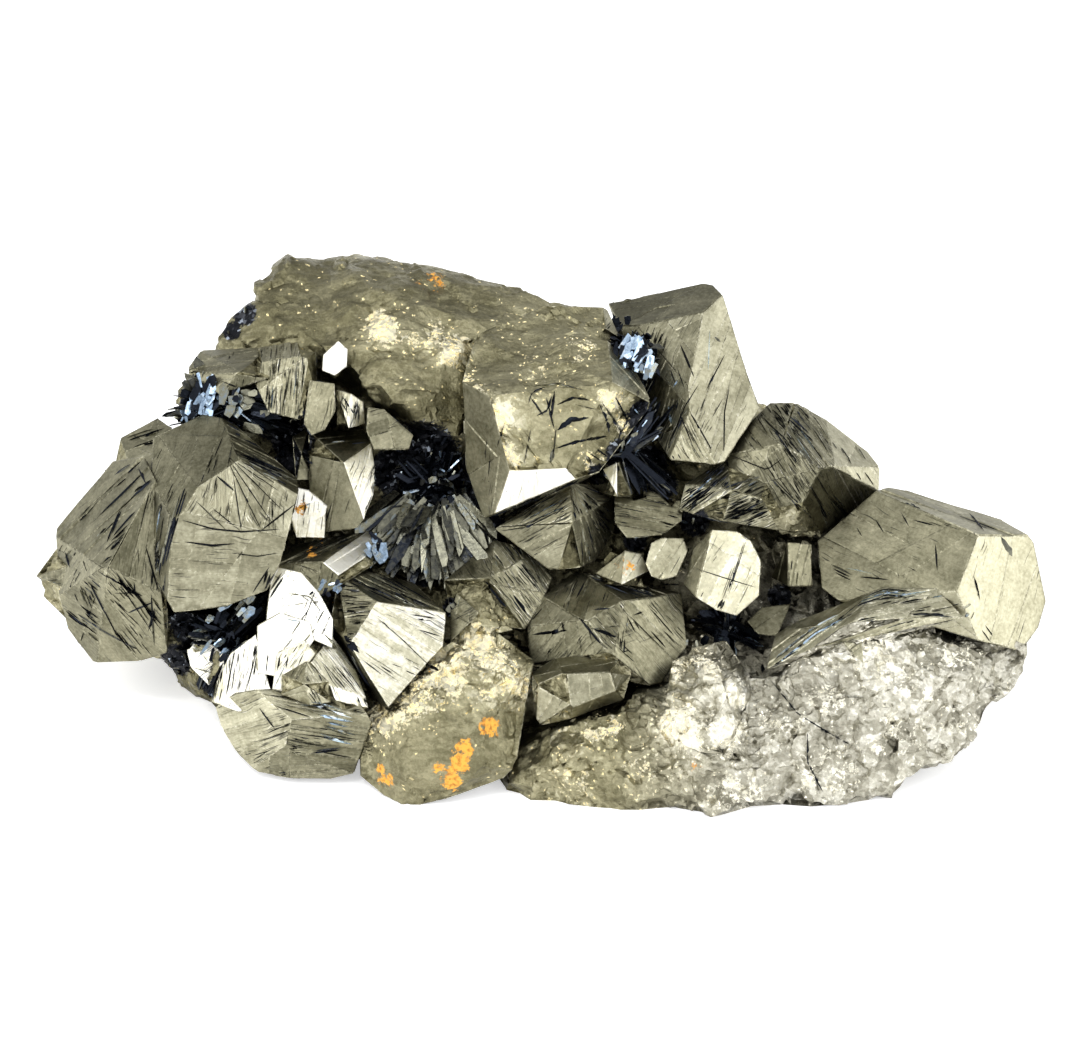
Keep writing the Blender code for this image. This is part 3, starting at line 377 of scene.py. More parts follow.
# Where the broken pyrite swells or sinks: place, how far it spreads, and how high, in millimetres.
LUMPS = [
    ((-27.6, 30.4), 2.6, 1.7), ((-13.5, 29.6), 5.0, 1.4), ((-20, 30.4), 3.0, 0.7), ((-31, 25), 1.6, 0.8),
    ((-9.4, 20.4), 1.5, 0.9), ((-17.2, 22.8), 1.4, 0.8), ((-13.2, 20.6), 1.5, -0.8),
    ((-11, 24.6), 1.6, -0.6), ((-20.8, 25.6), 1.8, 0.7), ((-24, 23), 1.8, -0.6), ((-5.8, 21.6), 1.3, 0.6),
    ((-14, 15.4), 2.0, 0.7), ((-9.8, 14), 1.6, -0.6), ((-2, 21.6), 1.4, -0.6), ((3, 21.4), 2.0, 0.6),
    ((-5.4, 14.6), 1.0, 0.6), ((-3.8, 12), 0.9, -0.6), ((-5.6, 10.8), 0.9, 0.5), ((0, 14.8), 0.9, 0.5),
    ((4.4, 14), 1.2, 0.5), ((3, 10), 1.2, 0.4), ((8, 14.6), 0.9, 0.6), ((6.4, 11.4), 0.9, -0.5),
    ((-9.2, -12.6), 1.3, 0.6), ((-6.4, -15.4), 1.1, -0.7), ((-12.4, -17.4), 1.3, 0.7),
    ((-15.8, -19), 1.1, 0.6), ((-9.6, -18.6), 1.4, -0.6), ((-3, -15.6), 1.2, 0.7), ((-13, -23.6), 2.2, 0.5),
    ((-6, -23), 1.5, -0.6), ((1.6, -24.4), 1.1, 0.9), ((4.6, -23), 1.0, 0.8), ((3.4, -26.6), 1.1, 0.8),
    ((7.4, -24.6), 1.2, 0.8), ((10.6, -22), 1.2, -0.8), ((15.4, -20.4), 1.5, 0.9),
    ((18.2, -18.2), 1.1, -0.9), ((20.6, -20.6), 1.3, 0.9), ((17.4, -24), 1.6, 0.7),
    ((23.8, -22), 1.6, -0.8), ((29, -14.4), 1.6, 0.8), ((33, -17), 1.8, -0.8), ((37, -12.4), 1.6, 0.9),
    ((41.4, -16.4), 1.7, 0.8), ((36.4, -21), 1.8, 0.8), ((43, -21.4), 1.6, -0.8), ((46.6, -14.6), 1.5, 0.7),
    ((30, -25), 1.7, 0.7),
]

# Where the rock between the crystals is coated with hematite: place and how far it spreads.
COATED = [
    ((-36.6, 15.6), 2.6), ((-33, 14.4), 2.6), ((-29.5, 13.2), 2.0), ((-27.2, 11.2), 2.2),
    ((-27.2, 8.8), 1.8), ((-32.6, 25), 1.2), ((-34, 23), 0.9), ((-37.5, -8.8), 3.0), ((-33.5, -9), 2.8),
    ((-34.4, -12), 1.8), ((-35.4, -15.5), 1.8), ((-31.2, -7.2), 1.6), ((-40, -13.2), 1.6),
    ((-12.8, 9), 3.6), ((-10.4, 6.4), 3.2), ((-16, 7.6), 2.4), ((-14, 4), 3.0), ((-17.2, 0.6), 1.8),
    ((-8, 2.6), 2.4), ((-5.6, 1), 1.8), ((-13, -3.4), 1.6), ((9, 9.4), 1.6), ((12, 8.4), 1.8),
    ((13.6, 6.2), 1.4), ((9.8, 21.6), 1.8), ((11.8, 17.6), 1.4), ((11.6, 13.4), 1.8), ((6.4, 7.2), 1.0),
    ((5.4, -0.6), 1.2), ((10.5, 0), 1.2), ((17, 2), 1.4), ((20.2, -8.6), 1.6), ((26.4, -6.2), 1.2),
    ((-9.6, -7.4), 1.0),
]

# Where the broken pyrite is smoother than elsewhere: place, how far it spreads, and how smooth it is, from
# 0 to 1.
SMOOTH = [
    ((-24, 26), 9, 0.75), ((-14, 27), 9, 0.75), ((-12, 16), 6, 0.7), ((-3, 24), 7, 0.7), ((3, 22), 6, 0.7),
    ((-12, -24.5), 7, 0.85), ((-6, -24), 4, 0.75), ((2.4, 12), 4.5, 0.75), ((28, -12), 3, 0.5),
    ((8, -25), 4, 0.4),
]

# Rusty limonite: where, how wide it spreads and how strong it is.
RUST = [
    ((-5.5, -20.5), 1.2, 0.9), ((-8.2, -22.8), 1.1, 0.9), ((-8.9, -24.4), 1.3, 0.9),
    ((-9.7, -26.4), 1.2, 0.9), ((-11.2, -24.9), 0.8, 0.7), ((-16.8, -26.3), 1.0, 0.8),
    ((-17.6, -25), 0.6, 0.8), ((-25, -1.4), 0.9, 0.85), ((-26.2, 3.3), 0.9, 0.85), ((-24.2, 5.4), 0.8, 0.8),
    ((-11.4, 28.7), 1.4, 0.6), ((-13.2, 28.2), 0.9, 0.45), ((9.3, -2.8), 1.3, 0.7), ((17, -24.6), 0.8, 0.6),
    ((-0.9, -14.4), 0.7, 0.5), ((-24.2, 0.2), 0.6, 0.6), ((-12.2, -14.2), 0.8, 0.5),
    ((4.2, -24.4), 0.8, 0.4), ((-22.8, -7.2), 0.6, 0.5),
]

# Lines and bands that stand out: the (right, up) points that each runs through, the width of a blade and of the
# band that its blades lie in, in millimetres, how many blades there are, and how they shine: 0 is black, 0.6 a
# dull gold and 1 blue-white. The blue-white is a painted reflection, and the brightest lines are painted
# highlights.
LINES = [
    # In the fan, and round it.
    (((-34.3, 9.7), (-26.6, 6.5)), 0.17, 0.9, 2, 0.2), (((-34.3, 9.5), (-27.2, 4.7)), 0.14, 0.9, 2, 0.2),
    (((-34.3, 9.3), (-28.2, 3.2)), 0.18, 0, 1, 0.0), (((-34.3, 9.1), (-29.3, 1.8)), 0.2, 0, 1, 0.0),
    (((-34.2, 8.6), (-30.5, 1)), 0.22, 0, 1, 0.0), (((-33.6, 6.8), (-32.7, 0.9)), 0.34, 0, 1, 0.0),
    (((-35.5, 7.1), (-33.4, 5.3)), 0.4, 0, 1, 0.0), (((-37.7, 4.3), (-34.3, 1)), 0.26, 0, 1, 0.0),
    (((-35.9, 3.5), (-32.7, 0.9)), 0.26, 0, 1, 0.0),
    (((-39.3, 2.2), (-35.8, 1.2), (-32.7, 0.9), (-28.4, 1.2)), 0.34, 0, 1, 0.1),
    (((-30.6, 1), (-26.8, 4)), 0.3, 0, 1, 0.0), (((-26.6, 6.5), (-27.4, 2), (-28.2, -2.1)), 0.3, 0, 1, 0.2),
    (((-34, -1.4), (-31, -1.8), (-28.6, -1.4)), 0.3, 0, 1, 0.0),
    (((-39, -0.2), (-36, -0.6), (-33.4, -0.4)), 0.36, 0, 1, 0.0),
    (((-38.7, 6.4), (-40.4, 1), (-41.8, -4.4)), 0.42, 0.9, 3, 0.1),
    (((-39.6, 3), (-41, -3)), 0.28, 0.9, 2, 0.1),
    # On the far left crystal.
    (((-48.6, -3.4), (-43.6, -6.2)), 0.28, 0, 1, 0.0), (((-43.3, -0.7), (-41.8, -5.9)), 0.4, 0, 1, 0.0),
    (((-42.4, -6.8), (-45.5, -8.1)), 0.5, 0, 1, 0.3), (((-42.4, -6.8), (-43.6, -10.8)), 0.42, 0.9, 2, 0.1),
    (((-42.4, -6.8), (-39.9, -9.3)), 0.42, 0.9, 2, 0.2), (((-42.4, -5.5), (-42.1, -12.1)), 0.35, 0.9, 2, 0.2),
    (((-49.5, -4.7), (-46.4, -10.8)), 0.4, 0, 1, 0.2),
    (((-51, -8.1), (-47.8, -10.2), (-44.2, -12.1)), 0.4, 0, 1, 0.2),
    (((-45.5, 3.7), (-47.3, -0.7)), 0.21, 0.9, 2, 0.0), (((-44.4, 3.2), (-46.9, 0.4)), 0.24, 0, 1, 0.0),
    (((-46.6, 6.8), (-44.6, 8.2)), 0.42, 0.9, 2, 0.4), (((-44.2, 8), (-43.2, 6)), 0.6, 0, 1, 0.5),
    (((-52.3, -1.2), (-51.6, -3.2)), 0.42, 0.8, 2, 0.1), (((-44, -12.2), (-38.5, -13.8)), 0.42, 0.7, 2, 0.3),
    # Between the striated crystal and the brown step.
    (((-27, 15.3), (-27.3, 9)), 0.21, 0.9, 2, 0.3), (((-26.3, 15.5), (-26.1, 9.4)), 0.21, 0.9, 2, 0.2),
    (((-27.8, 11.6), (-25.4, 6.8)), 0.28, 0.9, 2, 0.2), (((-21.8, 15.8), (-20.2, 13.4)), 0.35, 0.9, 2, 0.1),
    (((-35.2, 17.8), (-31.4, 16.4)), 0.28, 0.9, 2, 0.3), (((-29.2, 17.4), (-31, 13.8)), 0.21, 0.9, 2, 0.2),
    # The dark band through the lower left pocket.
    (((-28.5, -2.8), (-31.6, -7.6), (-35.6, -14.9)), 0.42, 2.4, 8, 0.3),
    (((-29.6, -3), (-30.4, -5.6)), 0.42, 0.8, 3, 0.5),
    (((-24.6, -5.4), (-26, -9.2)), 0.3, 0, 1, 0.0),
    (((-28, -5.8), (-25.2, -6.2), (-23.8, -8.2)), 0.36, 0, 1, 0.55),
    (((-27.4, -10.6), (-25.4, -7.6)), 0.3, 0, 1, 0.6), (((-24.4, -9.4), (-26.6, -12)), 0.32, 0, 1, 0.5),
    (((-23.6, -9.6), (-21.4, -12.8)), 0.34, 0.6, 2, 0.55), (((-28.2, -8.6), (-26, -9)), 0.26, 0, 1, 0.6),
    (((-30.4, -12), (-30.8, -15.6)), 0.21, 1.35, 3, 0.0),
    (((-28.2, -12.2), (-28.6, -14.6)), 0.28, 1.35, 3, 0.0),
    (((-24.8, -9.6), (-22.4, -12.4), (-20.2, -15)), 0.35, 0.9, 2, 0.4),
    # On the lower left crystal.
    (((-30.8, -18.4), (-29, -20.8)), 0.24, 0, 1, 0.0), (((-24.8, -20.4), (-20, -22)), 0.21, 1.35, 3, 0.7),
    (((-25.6, -23.2), (-20.6, -22.6)), 0.42, 0.8, 2, 0.1),
    (((-24.6, -21.6), (-20.2, -22.6)), 0.17, 0.9, 2, 0.9),
    (((-27.6, -17.6), (-24, -18), (-20, -19.4)), 0.3, 0.7, 3, 1.0),
    (((-24.6, -19.4), (-20, -20.4)), 0.24, 0.9, 4, 1.0),
    # On the lined crystal.
    (((-22.4, -5), (-19.6, -5.4)), 0.28, 0.9, 2, 0.0), (((-22.6, -6.4), (-19.4, -6.9)), 0.28, 0.9, 2, 0.0),
    (((-22.6, -7.8), (-19.4, -8.2)), 0.28, 0.9, 2, 0.0),
    (((-18, -8.4), (-15, -11), (-11.6, -14.3)), 0.18, 0, 1, 0.0),
    (((-14.4, -8.4), (-10.8, -8.9)), 0.21, 0.9, 2, 0.0), (((-13.4, -9.8), (-10.8, -10.6)), 0.3, 0, 1, 0.0),
    (((-12.6, -13.2), (-11, -14.2)), 0.42, 0.9, 2, 0.0), (((-21.6, -10.4), (-19.8, -12.4)), 0.9, 0, 1, 0.2),
    # The ridge from the central nest up to the block, and the olive crystal.
    (((-5.2, 1.5), (0, 4.2), (5, 6.8)), 0.42, 0.7, 3, 0.3),
    (((-5.6, 1.2), (-1.6, 1.8), (2, 3.6)), 0.21, 0.9, 2, 0.4),
    (((-6.4, -4), (-3.2, -7.8)), 0.21, 0.9, 2, 0.0), (((-3, -5.8), (-1, -8.6)), 0.42, 0.9, 4, 0.0),
    (((-2.6, -2.4), (0.2, -5.6)), 0.21, 0.9, 2, 0.0), (((-0.9, -10.4), (3, -9.9)), 0.6, 0, 1, 0.0),
    (((5.4, -7.8), (8.4, -7.6)), 0.28, 0.9, 2, 0.0), (((5.6, -9.2), (9, -10.4)), 0.42, 0.9, 2, 0.1),
    (((9.8, -8), (11, -10.2)), 0.21, 0.9, 2, 0.0), (((11.8, -9.8), (14.2, -12.4)), 0.24, 0.9, 2, 0.0),
    (((12.2, -7.6), (14.8, -10.6)), 0.3, 0, 1, 0.0), (((4.2, -8.4), (6.8, -11.6)), 0.5, 0, 1, 0.1),
    # The gap beside the domed crystal.
    (((-2.3, -10.3), (-0.7, -13.7), (-0.9, -19.9), (-3.5, -21.6)), 0.42, 0.7, 2, 0.0),
    # On the front of the top block.
    (((-1.3, 14.8), (-0.9, 16.2), (0.6, 16.8)), 0.36, 0, 1, 0.0),
    (((1.3, 15.8), (0.8, 14.2), (-0.4, 13.6)), 0.44, 0, 1, 0.0),
    (((1.6, 16.4), (1.2, 13.2)), 0.6, 0, 1, 0.0), (((1.8, 12), (3.4, 13.2), (5.4, 13.4)), 0.9, 0, 1, 0.0),
    (((1.6, 10), (4, 10.8), (7.4, 11.4)), 0.45, 0, 1, 0.0),
    (((1.8, 14.8), (3.6, 15.6), (5.6, 15.4)), 0.4, 0, 1, 0.0),
    (((-1.8, 8.2), (-1, 12.2)), 0.26, 0, 1, 0.3), (((1.4, 8.2), (1.8, 10.2)), 0.6, 0.8, 3, 0.6),
    (((4.6, 9.6), (5.6, 8)), 0.6, 0.8, 2, 0.2), (((6.4, 15.2), (7.4, 13), (7.6, 11.6)), 0.5, 0, 1, 0.0),
    (((8.2, 15.8), (9.6, 13.2), (8.4, 10.8)), 0.4, 0, 1, 0.1),
    (((-1, 17), (2, 17.2), (5.4, 16.4)), 0.18, 0.6, 2, 0.3),
    (((0.6, 16), (1.6, 12)), 0.3, 0, 1, 0.0), (((1.8, 12.6), (1.4, 8.6)), 0.3, 0, 1, 0.0),
    (((7, 15.6), (9.6, 11.4)), 0.3, 0.9, 2, 0.2),
    (((-1, 15.6), (0.4, 13.6)), 0.5, 0, 1, 0.0), (((3.2, 15.4), (6.6, 14.6)), 0.21, 0.9, 2, 0.0),
    (((-4.6, 9.6), (-3.4, 13.4)), 0.14, 0.9, 2, 0.0), (((5, 10), (7.4, 8.4)), 0.28, 1.35, 3, 0.2),
    # Hematite bands right of the top block.
    (((12.9, 16), (10.2, 12), (7.4, 8.1)), 0.42, 1, 4, 0.4), (((10.1, 10.5), (13.6, 5.5)), 0.42, 1.8, 6, 0.2),
    (((8.4, 22.6), (11.6, 22)), 0.42, 0.8, 3, 0.4), (((11.9, 21.6), (12.1, 17.4)), 0.28, 0.9, 2, 0.6),
    (((14.4, 19.8), (15.6, 16.4)), 0.28, 0.9, 2, 0.1),
    # On the upper right crystal.
    (((20.4, 20.5), (18.2, 16.3)), 0.26, 0, 1, 0.0),
    (((20.8, 16.7), (20.3, 14.1), (20.2, 9.6)), 0.26, 0, 1, 0.0),
    (((16.5, 14.1), (18.9, 9.8)), 0.26, 0, 1, 0.0), (((15.3, 14.1), (16.8, 10.3)), 0.26, 0, 1, 0.0),
    (((17.5, 17.2), (15.6, 14.1)), 0.24, 0, 1, 0.0), (((15.4, 21.6), (17, 17.8)), 0.4, 0, 1, 0.0),
    (((18.7, 23.2), (18.5, 18.6)), 0.3, 0, 1, 1.0), (((19.2, 22.4), (19.9, 21.8)), 0.7, 0, 1, 0.1),
    (((13.6, 8.2), (20, 8.9)), 0.21, 0.9, 2, 0.5),
    # On the right striated crystal and the bladed one.
    (((21, 9.3), (24.9, 7.7), (26.8, 9.1)), 0.36, 0, 1, 0.1),
    (((24.4, 13.4), (27.4, 10.4)), 0.21, 1.35, 3, 0.1),
    (((26.8, 14.6), (30.6, 11.2)), 0.17, 1.35, 3, 0.0), (((25.4, 12.2), (28.8, 7.6)), 0.28, 1.35, 3, 0.1),
    (((28.6, 8.6), (32.4, 2.6)), 0.17, 1.35, 3, 0.0), (((16, 3.8), (19.8, 7.2)), 0.28, 1.35, 3, 0.3),
    (((17.4, 3.2), (24.4, 5.4)), 0.21, 1.35, 3, 0.6), (((18.6, 2.4), (26, 3.2)), 0.28, 1.35, 3, 0.2),
    (((20, 5.4), (24.4, 7)), 0.42, 0.8, 2, 0.2),
    (((21.6, 3.4), (27, 5.8)), 0.17, 1.35, 3, 0.6), (((25, 6.8), (29.6, 2)), 0.21, 1.35, 3, 0.2),
    (((32, 5.4), (34.4, 3)), 0.21, 1.35, 3, 0.0),
    # Across the bright cream crystal.
    (((11.9, -4.4), (16.3, -4.6), (19.3, -4.7)), 0.35, 0.9, 2, 0.0),
    (((17, -3.1), (20.4, -4.2), (23.7, -5.2)), 0.2, 0, 1, 0.0),
    (((22.8, 0.4), (20.7, -6.1)), 0.15, 0.9, 2, 0.0), (((21.4, -1.6), (19.6, -6.6)), 0.14, 0.9, 2, 0.0),
    (((20.7, -6.1), (19.5, -8.1)), 0.42, 1, 4, 0.4),
    # On the big right crystal.
    (((34.8, 1.4), (35.4, 0.4)), 0.24, 0, 1, 0.0), (((36.8, 2.4), (37.8, 0.8)), 0.26, 0, 1, 0.0),
    (((39.6, 3.2), (40.6, 1.4)), 0.24, 0, 1, 0.0),
    (((32.4, -2.4), (38, -3.6)), 0.14, 0.9, 2, 0.9), (((34.6, -3.9), (38.8, -4.3)), 0.28, 0.9, 2, 0.0),
    (((31.6, -3), (34.4, -4.4)), 0.35, 1.35, 3, 0.1),
    (((43.4, -0.4), (43.6, -3.4)), 0.3, 0, 1, 0.0), (((47.2, 3), (48.8, 1)), 0.4, 0, 1, 0.0),
    (((41, 2.2), (43.4, 1.6)), 0.4, 0, 1, 0.0),
    (((47.2, -3.4), (47.9, -6.8)), 0.14, 0.9, 2, 0.0), (((50.6, 0.4), (51.9, -1.8)), 0.9, 0, 1, 0.4),
    (((48.4, -9), (49.8, -11)), 0.21, 0.9, 2, 0.0),
    # Fibres along the ledge.
    (((25.2, -13.8), (30, -9.9), (33.6, -8)), 0.21, 1.35, 4, 0.62),
    (((33.8, -7.4), (38, -5.8), (41.6, -6.2)), 0.21, 1.35, 4, 0.6),
    (((40, -8.2), (45.4, -8.6)), 0.42, 0.7, 2, 0.2),
    # Cracks in the broken pyrite.
    (((25.1, -15.1), (28.2, -19), (31.6, -21.1), (34.3, -22.6)), 0.3, 0, 1, 0.0),
    (((29.3, -20.8), (29.3, -24.3), (31, -27.6)), 0.3, 0, 1, 0.0),
    (((24.5, -13.2), (24.6, -15)), 0.42, 0.8, 2, 0.1),
]

# The hematite nests: the node that each stands for, its knot (right, up, towards) and the knot's radius,
# then its sheaves of plates as (length, turn in the picture, lean towards the viewer, how far they fan out,
# how many, and how they shine, as in LINES).
NESTS = {
    "hematite_nest_upper_left": ((-34.5, 15, -2.5), 2.0, [
        (7.4, -14, 2, 9, 28, 0.25), (6.9, 193, 4, 12, 22, 0.4), (5.0, 142, 12, 16, 18, 0.5),
        (6.2, -24, 6, 12, 20, 0.2),
        (5.0, 165, 8, 14, 16, 0.5),
    ]),
    "hematite_nest_lower_left": ((-34.5, -10.5, 0.5), 2.2, [
        (6.4, 50, 4, 10, 26, 0.3), (7.2, -107, 4, 10, 34, 0.25), (4.4, 160, 6, 20, 16, 0.25),
        (5.4, -98, 10, 12, 20, 0.3),
        (4.4, 190, 2, 18, 14, 0.3),
    ]),
    "hematite_nest_centre": ((-11.5, 6.2, -2.0), 3.2, [
        (10.2, 226, 10, 9, 40, 0.53), (11.6, 246, 12, 8, 48, 0.56), (12.4, 264, 14, 8, 52, 0.54),
        (11.2, 284, 14, 8, 52, 0.56), (10.4, 306, 10, 9, 48, 0.54), (6.0, 250, 30, 20, 24, 0.5),
        (4.6, 196, 12, 16, 12, 0.2), (4.4, 140, 6, 16, 12, 0.1), (4.2, 62, 6, 20, 12, 0.1),
    ]),
    "hematite_spray_right": ((9.4, 9.8, 0.6), 1.7, [
        (7.1, 54, 4, 6, 20, 0.3), (7.5, -45, 4, 10, 26, 0.3), (5.1, -72, 10, 12, 16, 0.3),
        (4.1, 184, 6, 18, 8, 0.3),
        (5.3, 30, 12, 12, 10, 0.4),
    ]),
    "hematite_nest_top": ((10.2, 20.4, -0.6), 2.0, [
        (2.8, 84, 10, 24, 12, 0.1), (3.9, -62, 12, 22, 14, 0.3), (3.2, 8, 15, 22, 10, 0.3),
        (3.6, 142, 12, 20, 12, 0.1),
        (3.6, 230, 8, 16, 8, 0.3),
    ]),
    "hematite_nest_low_right": ((20.6, -9.8, -1.0), 1.8, [
        (4.7, 84, 16, 12, 20, 0.3), (4.3, 168, 8, 14, 10, 0.2), (4.5, -28, 6, 14, 10, 0.1),
        (3.7, 118, 22, 18, 10, 0.2),
        (4.3, -85, 4, 14, 10, 0.1),
    ]),
}

# Where the hematite flashes with a painted blue-white reflection, and a gap that dark shards fill: middle
# (right, up, towards), how far the shards spread, their turn in the picture, how many, and how they shine, as
# in LINES.
FLASHES = [
    ((-36.6, 16.2, 0.4), 0.9, 66, 26, 0.96), ((-37.6, 14.8, 0.2), 0.7, 80, 20, 0.92),
    ((-38.4, 13.4, 0), 0.4, 84, 5, 0.85), ((-33.4, 16, 1.8), 0.9, 70, 10, 0.78),
    ((-31.4, 14.8, 1.6), 1.1, 0, 7, 0.66), ((-34.2, -8.4, 3.4), 0.9, 62, 7, 0.8),
    ((-32.2, -6.4, 6), 0.9, 50, 7, 0.82), ((-35.4, -12, 3), 0.8, 40, 6, 0.9),
    ((-18.4, -0.8, 1.6), 0.8, -62, 9, 0.88), ((-22.2, -5.3, 6.2), 0.5, 50, 6, 0.95),
    ((-23.7, -5.6, 7), 0.5, 50, 5, 0.85), ((10.2, 20.2, 2.6), 0.95, 70, 34, 0.98),
    ((11.6, 17.8, 2.6), 0.7, 80, 5, 0.8), ((10.8, 11.4, 3.4), 0.6, 50, 3, 0.7),
    ((15.9, -11.4, 3.4), 0.5, 76, 3, 0.78), ((46.6, -7.8, 8.4), 0.4, 30, 3, 0.75),
    ((9.4, 10.4, 2.6), 0.8, 60, 4, 0.6), ((8.3, 23.4, -4), 0.55, 76, 22, 0.12),
]


def seen(right, up, towards=0.0):
    """A point of the good side, in millimetres, as a world point in metres."""
    return (VIEW_RIGHT * right + VIEW_UP * up + VIEW_OUT * towards + Vector((0, 0, MIDDLE_HEIGHT))) * MM


def in_picture(point):
    """The (right, up, towards) of a world point, in millimetres."""
    local = point / MM - Vector((0, 0, MIDDLE_HEIGHT))
    return local.dot(VIEW_RIGHT), local.dot(VIEW_UP), local.dot(VIEW_OUT)


def struck(tree, right, up):
    """What the viewer sees at a place: the point, its normal and the number of its face, or None for each."""
    return tree.ray_cast(seen(right, up, FAR_OUT), -VIEW_OUT)[:3]


def scatter(dice, spread):
    """A random vector whose parts have that spread."""
    return Vector([dice.gauss(0, spread) for _ in range(3)])


# Materials

class Value:
    """What a material works out: the output of a node. Its sums, differences and products add nodes."""

    def __init__(self, socket):
        self.socket = socket

    def worked(self, operation, *values):
        """The output of a math node, or of a vector math node, for those values."""
        kind = "ShaderNodeMath" if self.socket.type == "VALUE" else "ShaderNodeVectorMath"
        return output_of(self.socket.id_data, kind, 0, dict(enumerate(values)), operation=operation)

    def __add__(self, other):
        return self.worked("ADD", self, other)

    def __sub__(self, other):
        return self.worked("SUBTRACT", self, other)

    def __rsub__(self, other):
        return self.worked("SUBTRACT", other, self)

    def __mul__(self, other):
        return self.worked("MULTIPLY", self, other)


def feed(node, inputs):
    """Gives a node's sockets, by name or number, a plain value or one that the material works out."""
    for name, given in inputs.items():
        if isinstance(given, Value):
            node.id_data.links.new(given.socket, node.inputs[name])
        else:
            node.inputs[name].default_value = given


def put(tree, kind, inputs=None, **settings):
    """A new node with those properties and inputs."""
    made = tree.nodes.new(kind)
    for name, setting in settings.items():
        setattr(made, name, setting)
    feed(made, inputs or {})
    return made


def output_of(tree, kind, output, inputs=None, **settings):
    """The output, by name or number, of a new node."""
    return Value(put(tree, kind, inputs, **settings).outputs[output])


def shader_tree(name):
    """A new material, its node tree and its shader."""
    made = bpy.data.materials.new(name)
    made.use_nodes = True
    return made, made.node_tree, made.node_tree.nodes["Principled BSDF"]


def larger(first, second):
    """The larger of two values."""
    return first.worked("MAXIMUM", first, second)


def vector(tree, **parts):
    """A vector from its parts X, Y and Z. A part that isn't given is 0."""
    return output_of(tree, "ShaderNodeCombineXYZ", 0, parts)


def part(whole, axis):
    """The part X, Y or Z of a vector or a colour."""
    return output_of(whole.socket.id_data, "ShaderNodeSeparateXYZ", axis, {0: whole})


def ramp(amount, stops):
    """A colour ramp through (position, colour) stops. A colour may be a single grey value."""
    made = put(amount.socket.id_data, "ShaderNodeValToRGB", {"Fac": amount})
    while len(made.color_ramp.elements) < len(stops):
        made.color_ramp.elements.new(0.5)
    for element, (position, colour) in zip(made.color_ramp.elements, stops):
        element.position = position
        element.color = (colour, colour, colour, 1.0) if isinstance(colour, float) else (*colour, 1.0)
    return Value(made.outputs["Color"])


def step_between(amount, low, high):
    """0 below low, 1 above high, smooth between."""
    inputs = {"Value": amount, "From Min": low, "From Max": high}
    return output_of(amount.socket.id_data, "ShaderNodeMapRange", "Result", inputs,
                     interpolation_type="SMOOTHSTEP")


# Where a mix node has its two colours, and the colour that it gives.
MIX_FIRST, MIX_SECOND, MIX_RESULT = 6, 7, 2


def blend(tree, amount, first, second, kind="MIX"):
    """A mix of two colours, or the first one changed by the second in that way."""
    first, second = (colour if isinstance(colour, Value) else (*colour, 1.0) for colour in (first, second))
    inputs = {"Factor": amount, MIX_FIRST: first, MIX_SECOND: second}
    return output_of(tree, "ShaderNodeMix", MIX_RESULT, inputs, data_type="RGBA", blend_type=kind)


def attribute(tree, name):
    """What the mesh's attribute of that name says there."""
    return output_of(tree, "ShaderNodeAttribute", "Fac", attribute_name=name)


def noise_at(place, scale, detail=2.0, rough=0.5):
    """Smooth noise of that scale, mostly near 0.5."""
    inputs = {"Vector": place, "Scale": scale, "Detail": detail, "Roughness": rough}
    return output_of(place.socket.id_data, "ShaderNodeTexNoise", "Fac", inputs)


def cells_at(place, scale):
    """Cells of that scale: a colour for each by lot, and how far its middle is."""
    made = put(place.socket.id_data, "ShaderNodeTexVoronoi", {"Vector": place, "Scale": scale})
    return Value(made.outputs["Color"]), Value(made.outputs["Distance"])


def bump(height, strength, distance, **inputs):
    """A normal with that relief on it."""
    inputs.update(Height=height, Strength=strength, Distance=distance)
    return output_of(height.socket.id_data, "ShaderNodeBump", "Normal", inputs)


def textured(tone, textures):
    """The tone, lighter and darker by each of the (texture, strength) pairs."""
    for texture, strength in textures:
        tone = tone + (texture - 0.5) * strength
    return tone


def object_millimetres(tree):
    """The place on the object in millimetres."""
    return output_of(tree, "ShaderNodeTexCoord", "Object") * (1000, 1000, 1000)


# Colours, as (position, colour) from dark to bright.
BLACK = (0.012, 0.013, 0.017)
# The crystal, gold and silver ramps run from painted shade to painted highlight, through the pyrite's own
# tones.
CRYSTAL_TONE_AND_LIGHT_COLOURS = (
    (0.0, (0.025, 0.022, 0.012)), (0.3, (0.13, 0.123, 0.077)), (0.5, (0.283, 0.267, 0.178)),
    (0.75, (0.59, 0.563, 0.405)), (0.9, (0.95, 0.91, 0.74)), (1.0, (1.0, 0.98, 0.88)),
)
GOLD_TONE_AND_LIGHT_COLOURS = (
    (0.0, (0.022, 0.02, 0.011)), (0.35, (0.17, 0.156, 0.088)), (0.6, (0.38, 0.352, 0.22)),
    (1.0, (0.98, 0.93, 0.72)),
)
SILVER_TONE_AND_LIGHT_COLOURS = (
    (0.0, (0.028, 0.026, 0.02)), (0.35, (0.21, 0.198, 0.15)), (0.6, (0.44, 0.42, 0.34)),
    (1.0, (1.0, 0.98, 0.88)),
)
# Painted highlights on the glittering rock.
SPARKLE_WHITE, SPARKLE_GOLD = (1.0, 0.96, 0.8), (0.9, 0.76, 0.4)
# The hematite coat's near-black, and at the top painted blue-white glints.
COAT_AND_GLINT_COLOURS = (
    (0.0, (0.008, 0.009, 0.011)), (0.8, (0.02, 0.021, 0.025)), (0.93, (0.08, 0.085, 0.095)),
    (1.0, (0.4, 0.45, 0.52)),
)
